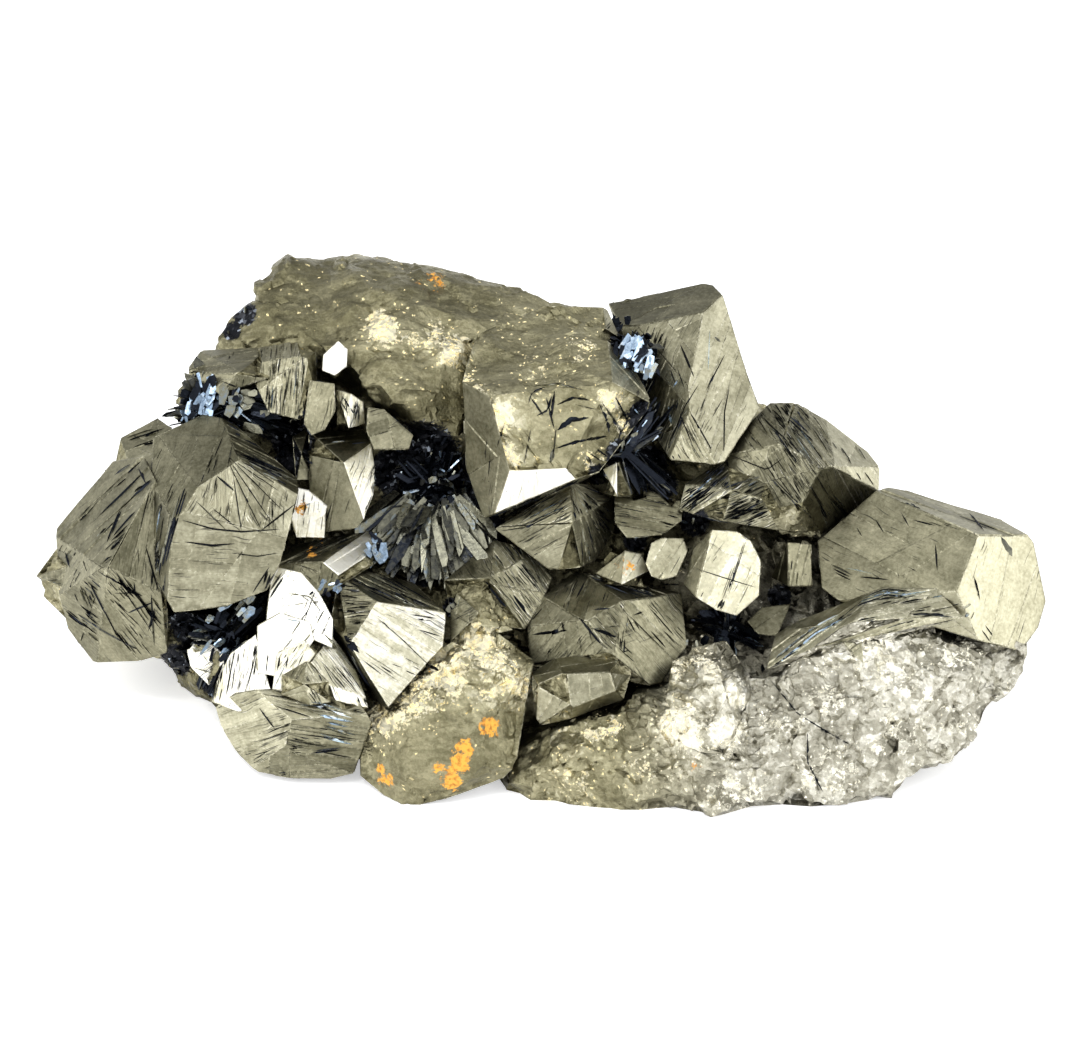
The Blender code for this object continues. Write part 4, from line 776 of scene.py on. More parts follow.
# Hematite from near-black through a dull gold to painted blue-white reflections.
HEMATITE_AND_REFLECTION_COLOURS = (
    (0.0, (0.006, 0.008, 0.012)), (0.35, (0.02, 0.024, 0.033)), (0.5, (0.095, 0.095, 0.075)),
    (0.68, (0.25, 0.245, 0.18)), (0.82, (0.2, 0.28, 0.38)), (0.94, (0.5, 0.64, 0.8)),
    (1.0, (0.86, 0.95, 1.0)),
)
RUST_COLOURS = ((0.3, (0.42, 0.15, 0.02)), (0.55, (0.86, 0.42, 0.06)))

# Painted shade: in the gaps between crystals a colour is multiplied by these greys. What is nearer than this,
# in millimetres, makes a gap.
GAP_SHADE_GREYS = ((0.04, 0.18), (0.3, 0.62), (0.6, 1.0))
GAP_SHADE_REACH = 4.5


def rusted(tree, place, colour):
    """The colour with patchy limonite where the rust attribute is set, and how rusty it is."""
    listed = attribute(tree, "rust")
    patches = listed + noise_at(place, 1.3, 4.0, 0.7) * 1.5 - 0.86
    amount = step_between(patches, 0.42, 0.56) * step_between(listed, 0.03, 0.2)
    return blend(tree, amount, colour, ramp(noise_at(place, 2.2, 3.0), RUST_COLOURS)), amount


def painted_gap_shade(tree, colour, amount=1.0):
    """The colour with painted shade, darker where the surface lies deep between others."""
    openness = output_of(tree, "ShaderNodeAmbientOcclusion", "AO", {"Distance": GAP_SHADE_REACH * MM}, samples=6)
    return blend(tree, amount, colour, ramp(openness, GAP_SHADE_GREYS), "MULTIPLY")


def crystal_material():
    """Pyrite faces: satiny, striated along growth, each with its tone and painted light, and painted bright
    edges.
    """
    made, tree, shader = shader_tree("pyrite_crystal")
    growth = output_of(tree, "ShaderNodeUVMap", "UV", uv_map="growth")
    growth = growth + vector(tree, Z=attribute(tree, "face_seed") * 37.0)
    growth = growth + vector(tree, Y=noise_at(growth, 0.15) * 2.4 - 1.2)
    clusters = noise_at(growth, 0.28)
    fine = noise_at(growth * (0.45, 8.0, 1.0), 1.0, 3.0, 0.6)
    broad = noise_at(growth * (0.12, 0.6, 1.0), 1.0)
    hairs = noise_at(growth * (0.3, 7.5, 1.0), 1.0, 1.0)
    stain = noise_at(growth, 0.5, 5.0, 0.65)
    mottle = noise_at(growth, 2.6, 3.0, 0.65)
    pits = cells_at(growth, 0.9)[1]

    striped = attribute(tree, "striped")
    gathered = clusters * 0.6 - 0.3 + striped * 0.12 - 0.05
    streaks = step_between(hairs + gathered, 0.68, 0.75)
    pitted = (1.0 - step_between(pits, 0.04, 0.1)) * step_between(mottle, 0.5, 0.56)
    black = larger(streaks, pitted) * 0.7

    # Painted highlights on the rounded edges, where the bevel normal parts from the true one.
    normal = output_of(tree, "ShaderNodeNewGeometry", "Normal")
    rounded = output_of(tree, "ShaderNodeBevel", "Normal", {"Radius": 0.22 * MM}, samples=4)
    pair = {0: normal, 1: rounded}
    likeness = output_of(tree, "ShaderNodeVectorMath", "Value", pair, operation="DOT_PRODUCT")
    painted_edge_highlight = step_between(1.0 - likeness, 0.02, 0.12) * step_between(mottle, 0.45, 0.6)

    # Each face's listed brightness: its own tone with painted highlight or shade.
    face_tone_and_light = attribute(tree, "face_tone_and_light")
    tone = textured(face_tone_and_light, ((broad, 0.1), (fine, 0.05), (stain, 0.44), (mottle, 0.34)))
    ribs = ((fine + broad) * 0.5 - 0.5) * striped
    # Painted glint lines along the striations.
    glints = step_between(fine + gathered * 0.5, 0.7, 0.76) * (striped * 0.5 + 0.08)
    tone = tone + ribs * 1.1 + painted_edge_highlight * 0.22 + glints
    # Painted shade in the gaps between crystals, left off the brightest faces.
    dull = 1.0 - step_between(face_tone_and_light, 0.7, 0.95)
    colour = painted_gap_shade(tree, blend(tree, black, ramp(tone, CRYSTAL_TONE_AND_LIGHT_COLOURS), BLACK), dull)
    colour, rust = rusted(tree, object_millimetres(tree), colour)
    height = (fine + broad) * (striped * 0.6 + 0.12) + mottle * 0.4 - black * 0.5
    feed(shader, {
        "Base Color": colour,
        "Metallic": 1.0 - rust,
        "Roughness": larger(stain * 0.3 + 0.24, rust * 0.8),
        "Normal": bump(height, 0.6, 0.12 * MM, Normal=rounded),
    })
    return made


def broken_material():
    """Broken massive pyrite: uneven grains, crumbs that glitter, hematite where coated; light and shade painted
    in.
    """
    made, tree, shader = shader_tree("massive_pyrite")
    place = object_millimetres(tree)
    warp = noise_at(place, 0.9)
    bent = place + vector(tree, X=warp * 1.6, Z=warp * -1.3)
    patches = noise_at(place, 0.16, 4.0, 0.6)
    streaks = noise_at(bent * (0.4, 1.6, 1.3), 1.0, 5.0, 0.65)
    specks = noise_at(place, 3.2, 4.0, 0.7)
    grain_colour = cells_at(bent, 0.5)[0]
    crumb_colour, crumb_distance = cells_at(bent, 2.2)
    grain, lot = part(grain_colour, "Y"), part(crumb_colour, "X")

    # Painted highlights: glittering patches and dots, painted near white or gold below.
    glitter = attribute(tree, "glitter")
    patchy = noise_at(bent, 0.6, 3.0, 0.6) * 0.6 + specks * 0.4
    patch = step_between(glitter * 0.46 + patchy, 0.8, 0.84) * (lot * 0.75 + 0.25)
    chosen = step_between(glitter * 0.5 + lot, 0.98, 1.0)
    dot = (1.0 - step_between(specks * 1.1 + crumb_distance, 0.78, 0.9)) * chosen
    sparkle = larger(patch, dot)

    rough = 1.0 - attribute(tree, "smooth")
    normal = output_of(tree, "ShaderNodeNewGeometry", "Normal")
    for tilt, strength in ((grain_colour, 0.4), (crumb_colour, 0.22)):
        normal = normal + (tilt - (0.5, 0.5, 0.5)) * (rough * strength + 0.06)
    normal = normal + vector(tree, Y=sparkle * -0.6)
    normal = normal.worked("NORMALIZE", normal)

    # The listed brightness: the rock's own tone with painted highlight and shade.
    tone = textured(attribute(tree, "place_tone_and_light"), ((patches, 0.4), (streaks, 0.45), (specks, 0.34)))
    tone = tone + ((grain - 0.5) * 0.26 + (lot - 0.5) * 0.2) * (rough * 0.9 + 0.1)
    silvery = attribute(tree, "silver")
    colour = blend(tree, silvery, ramp(tone, GOLD_TONE_AND_LIGHT_COLOURS), ramp(tone, SILVER_TONE_AND_LIGHT_COLOURS))
    colour = blend(tree, sparkle, colour, blend(tree, (1.0 - silvery) * lot, SPARKLE_WHITE, SPARKLE_GOLD))
    # The hematite coat, a few crumbs of it painted as blue-white glints, then painted shade in the gaps.
    coated = step_between(attribute(tree, "coated") + specks - 0.5, 0.32, 0.5)
    colour = painted_gap_shade(tree, blend(tree, coated, colour, ramp(lot, COAT_AND_GLINT_COLOURS)))
    colour, rust = rusted(tree, place, colour)
    feed(shader, {
        "Base Color": colour,
        "Metallic": 1.0 - rust,
        "Roughness": larger(patches * 0.2 + 0.28 - sparkle * 0.12, rust * 0.85),
        "Normal": bump(specks, 0.6, 0.25 * MM, Normal=normal),
    })
    return made


def hematite_material():
    """Hematite: near-black; some blades a dull gold, and painted reflections make others blue-white."""
    made, tree, shader = shader_tree("hematite")
    flecks = noise_at(object_millimetres(tree), 1.8, 3.0, 0.6)
    feed(shader, {
        "Base Color": ramp(attribute(tree, "shine") + flecks * 0.4 - 0.2, HEMATITE_AND_REFLECTION_COLOURS),
        "Metallic": 0.9,
        "Roughness": flecks * 0.3 + 0.14,
        "Normal": bump(flecks, 0.4, 0.15 * MM),
    })
    return made


# The pyrite

class Face:
    """One flat crystal face: where it is, its brightness with painted light and shade, and how its cells run.
    """

    def __init__(self, number, normal, offset, middle):
        self.number = number
        self.normal = normal
        self.offset = offset
        self.middle = middle
        self.tone = None
        self.pattern = "mosaic"
        self.along = None
        self.apex = None
        self.cells = 6
        self.filled = 0.3


def in_plane(normal, degrees):
    """The direction within a plane that runs at that angle in the picture."""
    across = VIEW_RIGHT - VIEW_OUT * (normal.dot(VIEW_RIGHT) / normal.dot(VIEW_OUT))
    upward = VIEW_UP - VIEW_OUT * (normal.dot(VIEW_UP) / normal.dot(VIEW_OUT))
    return (across * math.cos(math.radians(degrees)) + upward * math.sin(math.radians(degrees))).normalized()


def add_face(found, face, group):
    """Takes a face of the mesh as a crystal face of its own."""
    middle = face.calc_center_median()
    item = Face(len(found), face.normal.copy(), face.normal.dot(middle), middle)
    found.append(item)
    face[group] = item.number


def find_faces(work, group):
    """Numbers the mesh's faces by the crystal face that they lie on. 0 is a facet of the broken pyrite."""
    found = [None]
    for face in sorted(work.faces, key=lambda item: -item.calc_area()):
        middle = face.calc_center_median()
        for item in found[1:]:
            apart = abs(item.normal.dot(middle) - item.offset)
            if item.normal.dot(face.normal) > SAME_NORMAL and apart < SAME_LEVEL * MM:
                face[group] = item.number
                break
        else:
            if face.calc_area() > SMALLEST_CRYSTAL_FACE * MM * MM:
                add_face(found, face, group)
    return found


def describe_faces(work, group, found, dice):
    """Gives the faces their brightness and pattern: as listed where the viewer sees them, else by lot."""
    tree = BVHTree.FromBMesh(work)
    work.faces.ensure_lookup_table()

    def face_at(place):
        where = struck(tree, *place)[2]
        return None if where is None else work.faces[where]

    for place, tone, pattern, aim, cells, filled in FACES:
        face = face_at(place)
        if face is None:
            continue
        if face[group] == 0:
            add_face(found, face, group)
        item = found[face[group]]
        item.tone, item.pattern, item.cells, item.filled = tone, pattern, cells, filled
        if pattern == "fan":
            start = seen(*aim)
            far = (item.offset - item.normal.dot(start)) / item.normal.dot(VIEW_OUT)
            item.apex = start + VIEW_OUT * far
            item.along = in_plane(item.normal, 90)
        else:
            item.along = in_plane(item.normal, aim)
    broken = set()
    for place in BROKEN_FACES:
        face = face_at(place)
        if face is not None and face[group]:
            broken.add(face[group])
    for item in found[1:]:
        if item.tone is None:
            item.tone = dice.choice(HIDDEN_TONES)
            item.pattern = dice.choice(("strips", "mosaic", "mosaic"))
            item.cells = dice.randint(3, 8)
            item.filled = dice.uniform(0.2, 0.5)
            side = item.normal.cross(Vector((0.3, 0.2, 0.93))).normalized()
            item.along = Matrix.Rotation(dice.uniform(0, math.pi), 3, item.normal) @ side
    return broken


def cut_cell(work, cell, through, across, group):
    """Splits one cell by a plane. Gives the faces that it became."""
    number = cell[group]
    geometry = [cell] + list(cell.edges) + list(cell.verts)
    made = bmesh.ops.bisect_plane(work, geom=geometry, plane_co=through, plane_no=across, dist=CUT_NEAR * MM)
    return [item for item in made["geom"] if isinstance(item, bmesh.types.BMFace) and item[group] == number]


def split_face(work, item, cells, group, dice):
    """Cuts a crystal face into its growth cells, mostly the largest first."""
    wanted = item.cells + len(cells) - 1
    for _ in range(TRIES * wanted):
        if len(cells) >= wanted:
            break
        cell = max(cells, key=lambda face: face.calc_area() * (0.6 + 0.8 * dice.random()))
        middle = cell.calc_center_median()
        if item.pattern == "fan":
            direction = (middle - item.apex).normalized()
            through = item.apex
            turn = dice.uniform(-FAN_SEAM_STRAY, FAN_SEAM_STRAY)
        else:
            crossing = item.pattern == "mosaic" and dice.random() < CROSSING_SEAMS
            direction = item.along
            through = middle.lerp(dice.choice([vertex.co for vertex in cell.verts]), dice.uniform(0.0, 0.45))
            turn = dice.uniform(-SEAM_STRAY, SEAM_STRAY)
            if crossing:
                turn += dice.choice(CROSSING_SEAM_TURNS)
        across = (Matrix.Rotation(turn, 3, item.normal) @ direction).cross(item.normal).normalized()
        parts = cut_cell(work, cell, through, across, group)
        if len(parts) > 1:
            cells = [face for face in cells if face.is_valid and face not in parts] + parts
    return cells


def seams(cells, number, group):
    """The edges between two cells of the face."""
    found = {edge for cell in cells for edge in cell.edges
             if len(edge.link_faces) == 2 and all(other[group] == number for other in edge.link_faces)}
    return sorted(found, key=lambda edge: (round(edge.verts[0].co.x, 7), round(edge.verts[1].co.y, 7)))


def rim_of(cells, number, group):
    """The rim of a crystal face, as pairs of points."""
    return [tuple(vertex.co.copy() for vertex in edge.verts) for cell in cells for edge in cell.edges
            if any(other[group] != number for other in edge.link_faces)]


def room_along(rim, point, direction, side):
    """How far a line through the point runs back and ahead to the rim. None if the point is outside."""
    ahead, behind, crossings = math.inf, math.inf, 0
    for first, second in rim:
        off_first, off_second = (first - point).dot(side), (second - point).dot(side)
        if (off_first > 0) == (off_second > 0):
            continue
        far = (first.lerp(second, off_first / (off_first - off_second)) - point).dot(direction)
        if far > 0:
            ahead = min(ahead, far)
            crossings += 1
        else:
            behind = min(behind, -far)
    return (behind, ahead) if crossings % 2 and behind < math.inf else None


def add_blade(blades, start, end, out, width, rise, shine, layer):
    """A hematite blade that lies in a face: a slim roof with pointed ends."""
    along = end - start
    side = along.cross(out).normalized() * width / 2
    middle = start.lerp(end, 0.5)
    sunk = -out * SUNK * MM
    points = (start + sunk, middle + side + sunk, end + sunk, middle - side + sunk)
    ring = [blades.verts.new(point) for point in points]
    ridge = [blades.verts.new(start.lerp(end, share) + out * rise) for share in (0.3, 0.7)]
    loops = (
        (ring[0], ring[1], ridge[0]), (ring[1], ridge[1], ridge[0]), (ring[1], ring[2], ridge[1]),
        (ring[2], ring[3], ridge[1]), (ring[3], ridge[0], ridge[1]), (ring[3], ring[0], ridge[0]),
        (ring[3], ring[2], ring[1], ring[0]),
    )
    for loop in loops:
        blades.faces.new(loop)[layer] = shine


def add_hairs(item, cells, group, blades, shine, dice):
    """Fine blades in sheaves of nearly parallel ones, inside the rim of a crystal face."""
    rim = rim_of(cells, item.number, group)
    across = item.normal.cross(item.along)
    spans = []
    for axis in (item.along, across):
        places = [(point - item.middle).dot(axis) for pair in rim for point in pair]
        spans.append((min(places), max(places)))
    wanted = sum(cell.calc_area() for cell in cells) / (MM * MM) * HAIRS * item.filled
    for _ in range(int(wanted)):
        middle = item.middle + item.along * dice.uniform(*spans[0]) + across * dice.uniform(*spans[1])
        if item.pattern == "fan":
            direction = (middle - item.apex).normalized()
            turn = dice.gauss(0, FAN_HAIR_STRAY)
        else:
            direction = item.along
            turn = dice.gauss(0, HAIR_STRAY)
            if item.pattern == "mosaic" and dice.random() < CROSSING_HAIRS:
                turn += dice.choice(CROSSING_HAIR_TURNS)
        direction = Matrix.Rotation(turn, 3, item.normal) @ direction
        side = item.normal.cross(direction)
        apart = dice.choice(SHEAF_GAPS)
        for _ in range(dice.choice(SHEAF_COUNTS)):
            point = middle + side * dice.gauss(0, apart) * MM + direction * dice.gauss(0, 1.0) * MM
            room = room_along(rim, point, direction, side)
            if room is None or wanted < 0:
                continue
            reach = min(LONGEST_HAIR, dice.lognormvariate(0.85, 0.5)) * MM / 2
            start = point - direction * min(reach, room[0] * SHORT_OF_RIM)
            end = point + direction * min(reach, room[1] * SHORT_OF_RIM)
            wanted -= 1
            if (end - start).length > SHORTEST_HAIR * MM:
                bright = dice.choice(HAIR_SHINES)
                width, rise = dice.choice(HAIR_WIDTHS) * MM, dice.uniform(*HAIR_RISES) * MM
                add_blade(blades, start, end, item.normal, width, rise, bright, shine)


def add_ribbon(blades, centres, normals, width, rise, shine, layer):
    """A blade that follows a surface: a low roof along the centres, pointed at both ends."""
    last = len(centres) - 1
    rings = []
    for number in range(1, last):
        along = (centres[number + 1] - centres[number - 1]).normalized()
        taper = math.sqrt(math.sin(math.pi * number / last))
        side = along.cross(normals[number]).normalized() * width / 2 * taper
        sunk = centres[number] - normals[number] * SUNK * MM
        ring = (sunk + side, centres[number] + normals[number] * rise, sunk - side)
        rings.append([blades.verts.new(point) for point in ring])
    first, final = blades.verts.new(centres[0]), blades.verts.new(centres[-1])
    for number in range(3):
        following = (number + 1) % 3
        for near, far in zip(rings, rings[1:]):
            blades.faces.new((near[number], near[following], far[following], far[number]))[layer] = shine
        blades.faces.new((first, rings[0][following], rings[0][number]))[layer] = shine
        blades.faces.new((final, rings[-1][number], rings[-1][following]))[layer] = shine


def add_lines(tree, blades, shine, dice):
    """The listed lines and bands, each blade laid on what the viewer sees there."""
    for points, width, band, count, glint in LINES:
        path = [Vector(point) for point in points]
        lengths = [(second - first).length for first, second in zip(path, path[1:])]
        for _ in range(count):
            offset = dice.uniform(-band / 2, band / 2)
            begin, stop = (0.0, 1.0) if count == 1 else (dice.uniform(0, 0.3), dice.uniform(0.7, 1.0))
            steps = max(3, int(sum(lengths) * (stop - begin) / LINE_STEP))
            centres, normals = [], []
            for step in range(steps + 1):
                far = (begin + (stop - begin) * step / steps) * sum(lengths)
                leg = 0
                while leg < len(lengths) - 1 and far > lengths[leg]:
                    far -= lengths[leg]
                    leg += 1
                along = (path[leg + 1] - path[leg]).normalized()
                spot = path[leg] + along * far + Vector((-along.y, along.x)) * offset
                hit, normal, _ = struck(tree, *spot)
                if hit is not None and (not centres or (hit - centres[-1]).length < LINE_DROP * MM):
                    centres.append(hit)
                    normals.append(normal)
            if len(centres) > 3:
                bright = min(1.0, glint * dice.uniform(0.5, 1.3) + dice.random() ** 4 * 0.6)
                width_here = width * dice.uniform(0.7, 1.2) * MM
                add_ribbon(blades, centres, normals, width_here, LINE_RISE * MM, bright, shine)


# A plate's outline, as (share of its length, share of its width).
PLATE_OUTLINE = ((0.0, 0.3), (0.6, 0.5), (0.95, 0.34), (1.0, -0.1), (0.8, -0.5), (0.0, -0.34))


def add_plate(blades, root, along, across, length, width, thickness, shine, layer, dice):
    """A thin hematite plate that grows from its root, blunt at the tip and with an uneven outline."""
    out = along.cross(across) * thickness / 2
    outline = [(far * dice.uniform(0.85, 1.1), off * dice.uniform(0.6, 1.2)) for far, off in PLATE_OUTLINE]
    rings = [[blades.verts.new(root + along * far * length + across * off * width + out * way)
              for far, off in outline] for way in (-1, 1)]
    blades.faces.new(rings[0])[layer] = shine
    blades.faces.new(rings[1][::-1])[layer] = shine
    for number in range(len(outline)):
        following = (number + 1) % len(outline)
        loop = (rings[0][following], rings[0][number], rings[1][number], rings[1][following])
        blades.faces.new(loop)[layer] = shine


def any_across(along, dice):
    """Some direction at right angles to that one."""
    return Matrix.Rotation(dice.uniform(0, math.pi), 3, along) @ along.orthogonal().normalized()


def view_direction(turn, lean):
    """The direction at that angle in the picture, leaning that far towards the viewer, in degrees."""
    turn, lean = math.radians(turn), math.radians(lean)
    flat = VIEW_RIGHT * math.cos(turn) + VIEW_UP * math.sin(turn)
    return flat * math.cos(lean) + VIEW_OUT * math.sin(lean)


def make_nest(middle, knot, sheaves, dice):
    """A nest of hematite plates: its sheaves, and short plates all round its knot."""
    blades = bmesh.new()
    shine = blades.faces.layers.float.new("shine")
    centre = seen(*middle)
    for length, turn, lean, spread, count, bright in sheaves:
        for _ in range(count):
            along = view_direction(turn + dice.gauss(0, spread / 2), lean + dice.gauss(0, spread / 2))
            beside = along.cross(VIEW_OUT).normalized() * dice.gauss(0, 0.3) * knot * MM
            root = centre + beside + VIEW_OUT * dice.uniform(-1.4, 1.6) * MM
            root += along * dice.uniform(-0.2, 0.25) * knot * MM
            reach = length * dice.triangular(0.45, 1.0, 0.9) * MM
            width = dice.uniform(0.3, 1.2)
            # A few plates get a painted blue-white reflection.
            flashes = dice.random() < 0.05 and bright < BRIGHT_SHEAF
            glint = 0.95 if flashes else max(0.0, min(0.7, dice.gauss(bright, 0.12)))
            across = any_across(along, dice)
            if bright >= BRIGHT_SHEAF:
                root += along * dice.uniform(0.7, 1.3) * knot * MM
                reach *= 0.68
                width = dice.uniform(0.4, 1.6)
                across = along.cross(VIEW_OUT + scatter(dice, 0.35)).normalized()
            thickness = dice.uniform(0.1, 0.2) * MM
            add_plate(blades, root, along, across, reach, width * MM, thickness, glint, shine, dice)
    for _ in range(int(SHORT_PLATES * knot)):
        along = scatter(dice, 1).normalized()
        root = centre + scatter(dice, 0.4) * knot * MM
        add_plate(blades, root, along, any_across(along, dice), knot * dice.uniform(0.25, 0.6) * MM,
                  dice.uniform(0.4, 1.3) * MM, 0.2 * MM, dice.random() ** 6, shine, dice)
    return blades


def add_flashes(blades, shine, dice):
    """The listed flashing places: shards that nearly face the viewer, shingled and of all sizes."""
    for middle, spread, turn, count, bright in FLASHES:
        for _ in range(count):
            along = view_direction(turn + dice.gauss(0, 16), dice.gauss(0, 10))
            across = along.cross(VIEW_OUT + scatter(dice, 0.25)).normalized()
            place = seen(*middle) + VIEW_RIGHT * dice.gauss(0, spread) * MM
            place += VIEW_UP * dice.gauss(0, spread) * MM
            place += VIEW_OUT * dice.uniform(-0.5, 0.3) * MM
            size = min(1.0, spread) * MM
            length = dice.uniform(0.9, 2.6) * size
            glint = bright * (dice.uniform(0.84, 1.0) if dice.random() < 0.6 else 0.4 * dice.random())
            width = dice.uniform(0.4, 1.5) * size
            root = place - along * length / 2
            add_plate(blades, root, along, across, length, width, 0.15 * MM, glint, shine, dice)


def add_druse(work, tree, group, blades, shine, dice):
    """Short plates that stand on the hematite-coated rock between the crystals."""
    work.faces.ensure_lookup_table()
    for (right, up), spread in COATED:
        for _ in range(int(DRUSE_PLATES * spread * spread)):
            turn, far = dice.uniform(0, 2 * math.pi), spread * math.sqrt(dice.random()) * DRUSE_REACH
            hit, normal, where = struck(tree, right + far * math.cos(turn), up + far * math.sin(turn))
            if hit is None or work.faces[where][group]:
                continue
            along = (normal + scatter(dice, 0.6)).normalized()
            across = any_across(along, dice)
            length, width = dice.uniform(0.7, 1.7) * MM, dice.uniform(0.25, 0.8) * MM
            root = hit - along * 0.3 * MM
            add_plate(blades, root, along, across, length, width, 0.14 * MM, dice.random() ** 4, shine, dice)


def raise_cells(work, group, found, dice):
    """Every cell of a crystal face gets a groove round it, a height and brightness, and a slight tip."""
    own = work.faces.layers.float.new("own_tone")
    wide = [face for face in work.faces
            if face[group] and face.calc_area() / face.calc_perimeter() > NARROWEST_CELL * MM]
    for face in wide:
        face[own] = dice.gauss(0, CELL_TONE)
    bmesh.ops.inset_individual(work, faces=wide, thickness=GROOVE * MM, depth=0.0, use_even_offset=True)
    for face in wide:
        normal = found[face[group]].normal
        middle = face.calc_center_median()
        slope = scatter(dice, 1) * math.tan(TIP) * 0.6
        step = dice.uniform(STEP_LOW, STEP_HIGH) * MM
        for vertex in face.verts:
            lift = step + (vertex.co - middle).dot(slope)
            vertex.co += normal * max(DEEPEST_CORNER * MM, min(HIGHEST_CORNER * MM, lift))


def longest_edge(edge, group):
    """How long an edge may stay: short on the broken pyrite where it shows, long on the hidden side."""
    if max(vertex.co.z for vertex in edge.verts) < LOWEST_RELIEF * MM:
        return math.inf
    shown = any(face.normal.dot(VIEW_OUT) > SHOWN for face in edge.link_faces)
    numbers = {face[group] for face in edge.link_faces}
    if 0 not in numbers:
        return (RIM_EDGE if shown and len(numbers) > 1 else CRYSTAL_EDGE) * MM
    return (FINE_EDGE if shown else COARSE_EDGE) * MM


def refine(work, group):
    """Halves the long edges until they are short enough."""
    bmesh.ops.triangulate(work, faces=list(work.faces))
    for _ in range(HALVINGS):
        work.normal_update()
        edges = [edge for edge in work.edges if edge.calc_length() > longest_edge(edge, group)]
        made = bmesh.ops.bisect_edges(work, edges=edges, cuts=1)
        middles = [item for item in made["geom_split"] if isinstance(item, bmesh.types.BMVert)]
        bmesh.ops.connect_verts(work, verts=middles, check_degenerate=False)
        bmesh.ops.triangulate(work, faces=list(work.faces))


def chip(point, size, height):
    """How far a point of a broken surface stands out, from a cleavage plane in each grain of that size."""
    place = point / (size * MM)
    centre = noise.voronoi(place)[1][0]
    lean = noise.cell_vector(centre * 7.3) * 2 - Vector((1, 1, 1))
    level = noise.cell(centre * 3.1) - 0.5
    return (lean.dot(place - centre) * CHIP_LEAN + level * CHIP_STEP) * height * MM


def strongest(places, right, up):
    """The strength there of the listed place that tells most."""
    return max(most * max(0.0, 1 - ((right - x) ** 2 + (up - y) ** 2) / (FADE * spread) ** 2) ** 0.5
               for (x, y), spread, most in places)


def roughened(point):
    """How far the broken pyrite stands out there: grains, crumblier where it glitters, and listed lumps."""
    right, up, towards = in_picture(point)
    levels = [chip(point, size, height) for size, height in BROKEN_RELIEF]
    if towards < BACK_DEPTH:
        return sum(levels)
    rough = 1 - SMOOTHED * strongest(SMOOTH, right, up)
    out = sum(levels) * rough + levels[-1] * strongest(GLITTER, right, up)
    for (x, y), spread, height in LUMPS:
        out += height * math.exp(-((right - x) ** 2 + (up - y) ** 2) / spread ** 2) * MM
    return out


def relieve(work, group):
    """Chips the broken pyrite, waves the crystals and wears their edges. The underside stays flat."""
    moves = []
    for vertex in work.verts:
        numbers = {face[group] for face in vertex.link_faces}
        if vertex.co.z < FLAT_HEIGHT * MM:
            continue
        if numbers == {0}:
            out = roughened(vertex.co)
        else:
            out = sum(noise.noise(vertex.co / (size * MM)) * height * MM for size, height in WAVES)
            if len(numbers) > 1:
                out -= EDGE_WEAR * MM * max(0.0, noise.noise(vertex.co / (WEAR_LENGTH * MM)) + WEAR_ADDED)
        moves.append((vertex, vertex.normal * out))
    for vertex, move in moves:
        vertex.co += move
        vertex.co.z = max(vertex.co.z, LOWEST_RELIEF * MM)


def sharpen(work, group):
    """Smooth shading within a face, sharp edges between faces, cells and chips."""
    work.normal_update()
    for edge in work.edges:
        if len(edge.link_faces) == 2:
            limit = CRYSTAL_CREASE if all(face[group] for face in edge.link_faces) else BROKEN_CREASE
            edge.smooth = edge.calc_face_angle(0.0) < math.radians(limit)
    for face in work.faces:
        face.smooth = True
        face.material_index = 0 if face[group] else 1


def paint_faces(work, group, found):
    """Each face's brightness and seed, and its growth directions as a UV map in millimetres, round in a fan."""
    own = work.faces.layers.float["own_tone"]
    tone = work.faces.layers.float.new("face_tone_and_light")
    seed = work.faces.layers.float.new("face_seed")
    striped = work.faces.layers.float.new("striped")
    growth = work.loops.layers.uv.new("growth")
    for face in work.faces:
        number = face[group]
        if number == 0:
            continue
        item = found[number]
        face[seed] = (number * SEED_STEP) % 1
        # The face's brightness: its own tone with painted highlight or shade, and its cell's own difference.
        face[tone] = max(0.0, min(1.0, item.tone + face[own]))
        face[striped] = min(1.0, item.filled)
        side = item.normal.cross(item.along)
        for loop in face.loops:
            from_middle = (loop.vert.co - (item.apex or item.middle)) / MM
            u, v = from_middle.dot(item.along), from_middle.dot(side)
            if item.apex:
                u, v = math.hypot(u, v), math.atan2(v, u) * FAN_RADIAN
            loop[growth].uv = (u, v)


